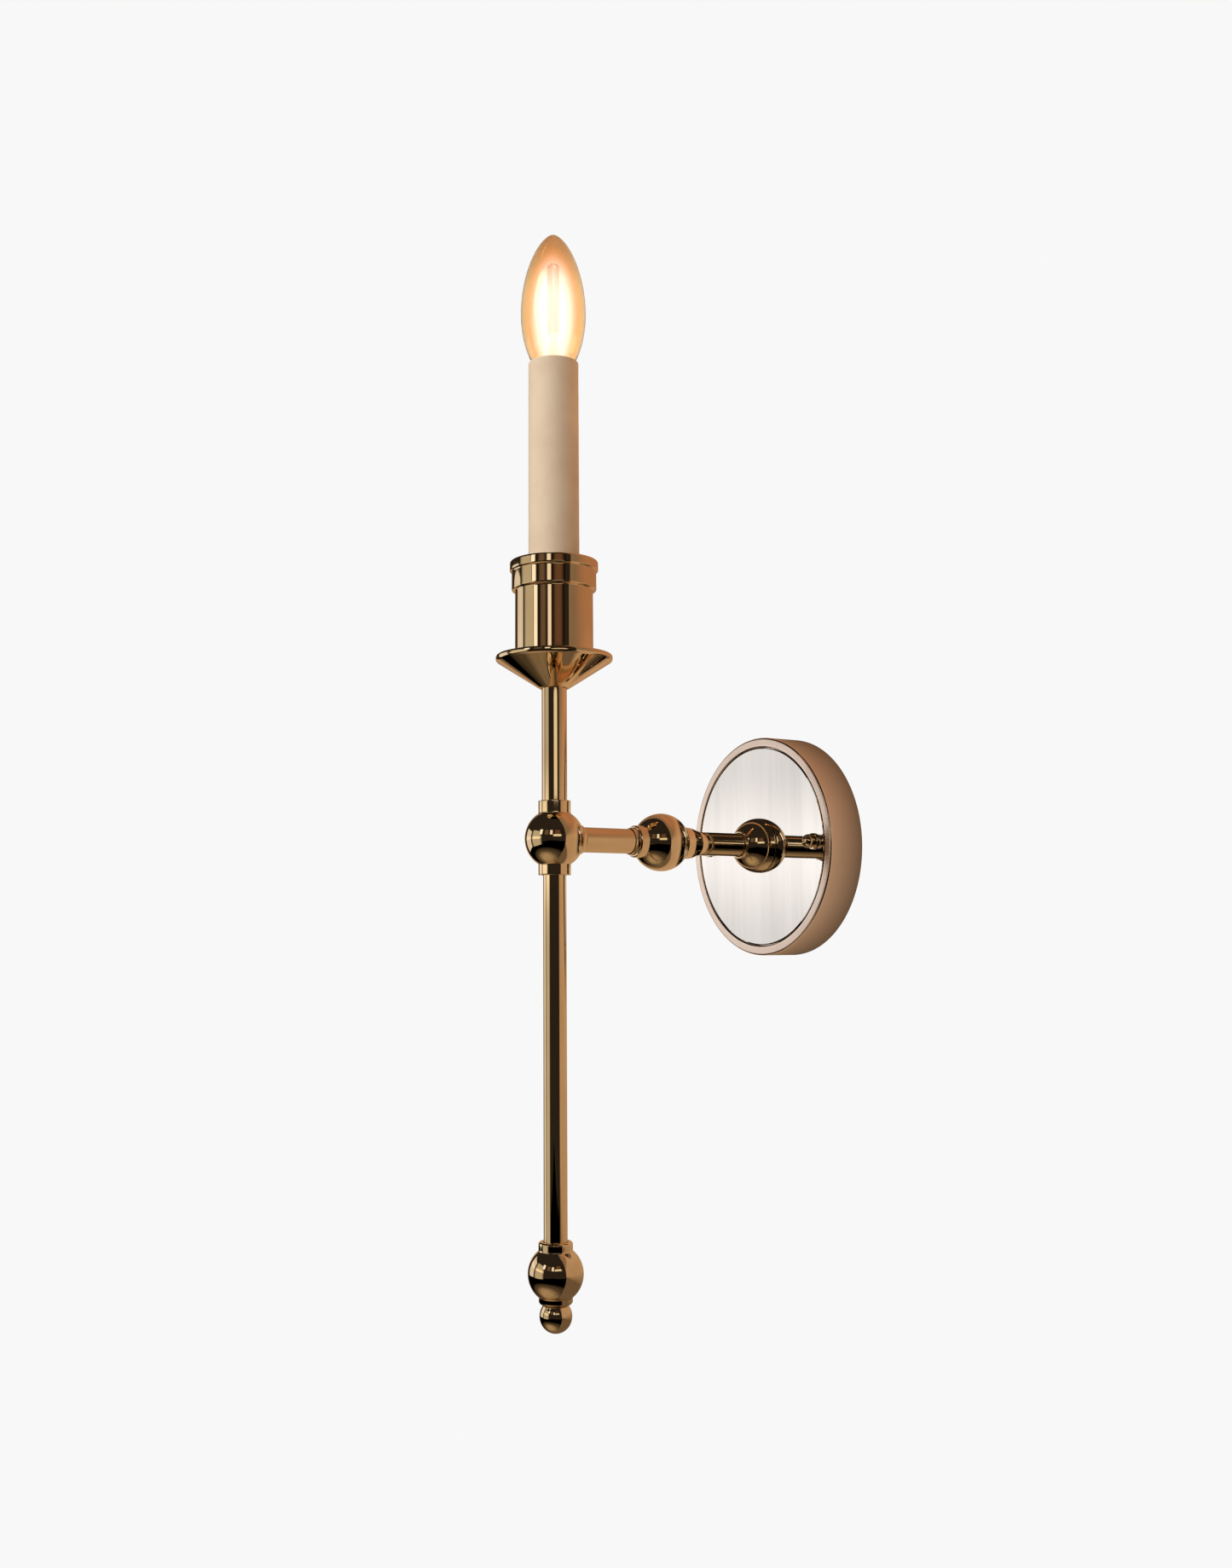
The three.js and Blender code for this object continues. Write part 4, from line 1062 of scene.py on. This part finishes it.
# pale to the eye. In the polish only the part near the lamp is lit, with a brighter patch out from the wall
def floorMaterial(size):
    material, tree, output = newMaterial("paleFloor")
    path = put(tree, "ShaderNodeLightPath", -500, 200)
    seen = put(tree, "ShaderNodeMath", -250, 200, operation="MAXIMUM")
    where = put(tree, "ShaderNodeTexCoord", -900, -100)
    below = put(tree, "ShaderNodeVectorMath", -700, -100, operation="DISTANCE")
    below.inputs[1].default_value = (stemX + size["heart"][0], stemY + size["heart"][1], size["height"])
    grain = fill(put(tree, "ShaderNodeTexNoise", -700, -300), Scale=5.0, Detail=4.0)
    patch = ramp(tree, -480, -100, *size["patch"], size["patchPower"], 0.0)
    tone = put(tree, "ShaderNodeMath", -250, -150, operation="MULTIPLY_ADD")
    around = ramp(tree, -480, -500, *size["around"], size["glow"], 0.0)
    lit = put(tree, "ShaderNodeEmission", 100, -100)
    lit.inputs["Color"].default_value = rgb(*size["tan"])
    plain = put(tree, "ShaderNodeEmission", 100, 100)
    plain.inputs["Color"].default_value = rgb(*size["pale"])
    choose = put(tree, "ShaderNodeMixShader", 400, 0)
    link = tree.links.new
    link(path.outputs["Is Camera Ray"], seen.inputs[0])
    link(path.outputs["Is Transmission Ray"], seen.inputs[1])
    link(where.outputs["Object"], below.inputs[0])
    link(where.outputs["Object"], grain.inputs["Vector"])
    link(below.outputs["Value"], patch.inputs["Value"])
    link(below.outputs["Value"], around.inputs["Value"])
    link(grain.outputs["Fac"], tone.inputs[0])
    link(around.outputs["Result"], tone.inputs[1])
    link(patch.outputs["Result"], tone.inputs[2])
    link(tone.outputs[0], lit.inputs["Strength"])
    link(seen.outputs[0], choose.inputs["Fac"])
    link(lit.outputs["Emission"], choose.inputs[1])
    link(plain.outputs["Emission"], choose.inputs[2])
    link(choose.outputs["Shader"], output.inputs["Surface"])
    return material


def addFloor(size):
    clearSelection()
    bpy.ops.mesh.primitive_plane_add(size=size["size"], location=(0, 0, size["height"]))
    floor = bpy.context.object
    floor.name = "studioFloor"
    bpy.ops.object.transform_apply(location=True, rotation=True, scale=True)
    floor.data.materials.append(floorMaterial(size))


addFloor(studioFloor)


studioAir = {"pale": studioFloor["pale"], "room": (1.0, 0.80, 0.64), "onMatt": 0.25, "inPolish": 0.025}


# a pale surround to the eye and through glass, a dark room in the polish
def addWorld(air):
    world = bpy.data.worlds.new("studio")
    bpy.context.scene.world = world
    world.use_nodes = True
    tree = world.node_tree
    tree.nodes.clear()
    output = put(tree, "ShaderNodeOutputWorld", 600, 0)
    path = put(tree, "ShaderNodeLightPath", -500, 200)
    seen = put(tree, "ShaderNodeMath", -250, 200, operation="MAXIMUM")
    soft = put(tree, "ShaderNodeMath", -250, -200, operation="MULTIPLY_ADD")
    soft.inputs[1].default_value = air["onMatt"]
    soft.inputs[2].default_value = air["inPolish"]
    room = put(tree, "ShaderNodeBackground", 100, -100)
    room.inputs["Color"].default_value = rgb(*air["room"])
    pale = put(tree, "ShaderNodeBackground", 100, 100)
    pale.inputs["Color"].default_value = rgb(*air["pale"])
    choose = put(tree, "ShaderNodeMixShader", 350, 0)
    link = tree.links.new
    link(path.outputs["Is Camera Ray"], seen.inputs[0])
    link(path.outputs["Is Transmission Ray"], seen.inputs[1])
    link(path.outputs["Is Diffuse Ray"], soft.inputs[0])
    link(soft.outputs[0], room.inputs["Strength"])
    link(seen.outputs[0], choose.inputs["Fac"])
    link(room.outputs["Background"], choose.inputs[1])
    link(pale.outputs["Background"], choose.inputs[2])
    link(choose.outputs["Shader"], output.inputs["Surface"])


addWorld(studioAir)


# warm light that the bulb and the wall throw on the sleeve from the wall's side
bulbSpill = {"power": 0.17, "colour": (1.0, 0.66, 0.40), "soft": 0.03, "place": (0.06, stemY + 0.12, 0.25)}
# broad soft daylight from the room, kept out of the polish
daylight = {"power": 4.1, "colour": (1.0, 0.96, 0.91), "soft": 50, "lean": 68, "turn": 12}


def addLight(name, kind, light):
    data = bpy.data.lights.new(name, kind)
    data.energy = light["power"]
    data.color = light["colour"]
    lamp = bpy.data.objects.new(name, data)
    lamp.visible_glossy = False
    bpy.context.scene.collection.objects.link(lamp)
    return lamp


lamp = addLight("bulbSpill", "POINT", bulbSpill)
lamp.data.shadow_soft_size = bulbSpill["soft"]
lamp.location = bulbSpill["place"]
sun = addLight("daylight", "SUN", daylight)
sun.data.angle = math.radians(daylight["soft"])
sun.rotation_euler = (math.radians(daylight["lean"]), 0, math.radians(daylight["turn"]))

scene = bpy.context.scene
scene.view_settings.view_transform = "Standard"
scene.cycles.use_denoising = True
scene.cycles.max_bounces = 16
scene.cycles.transmission_bounces = 12
scene.cycles.transparent_max_bounces = 40
print("studio set")
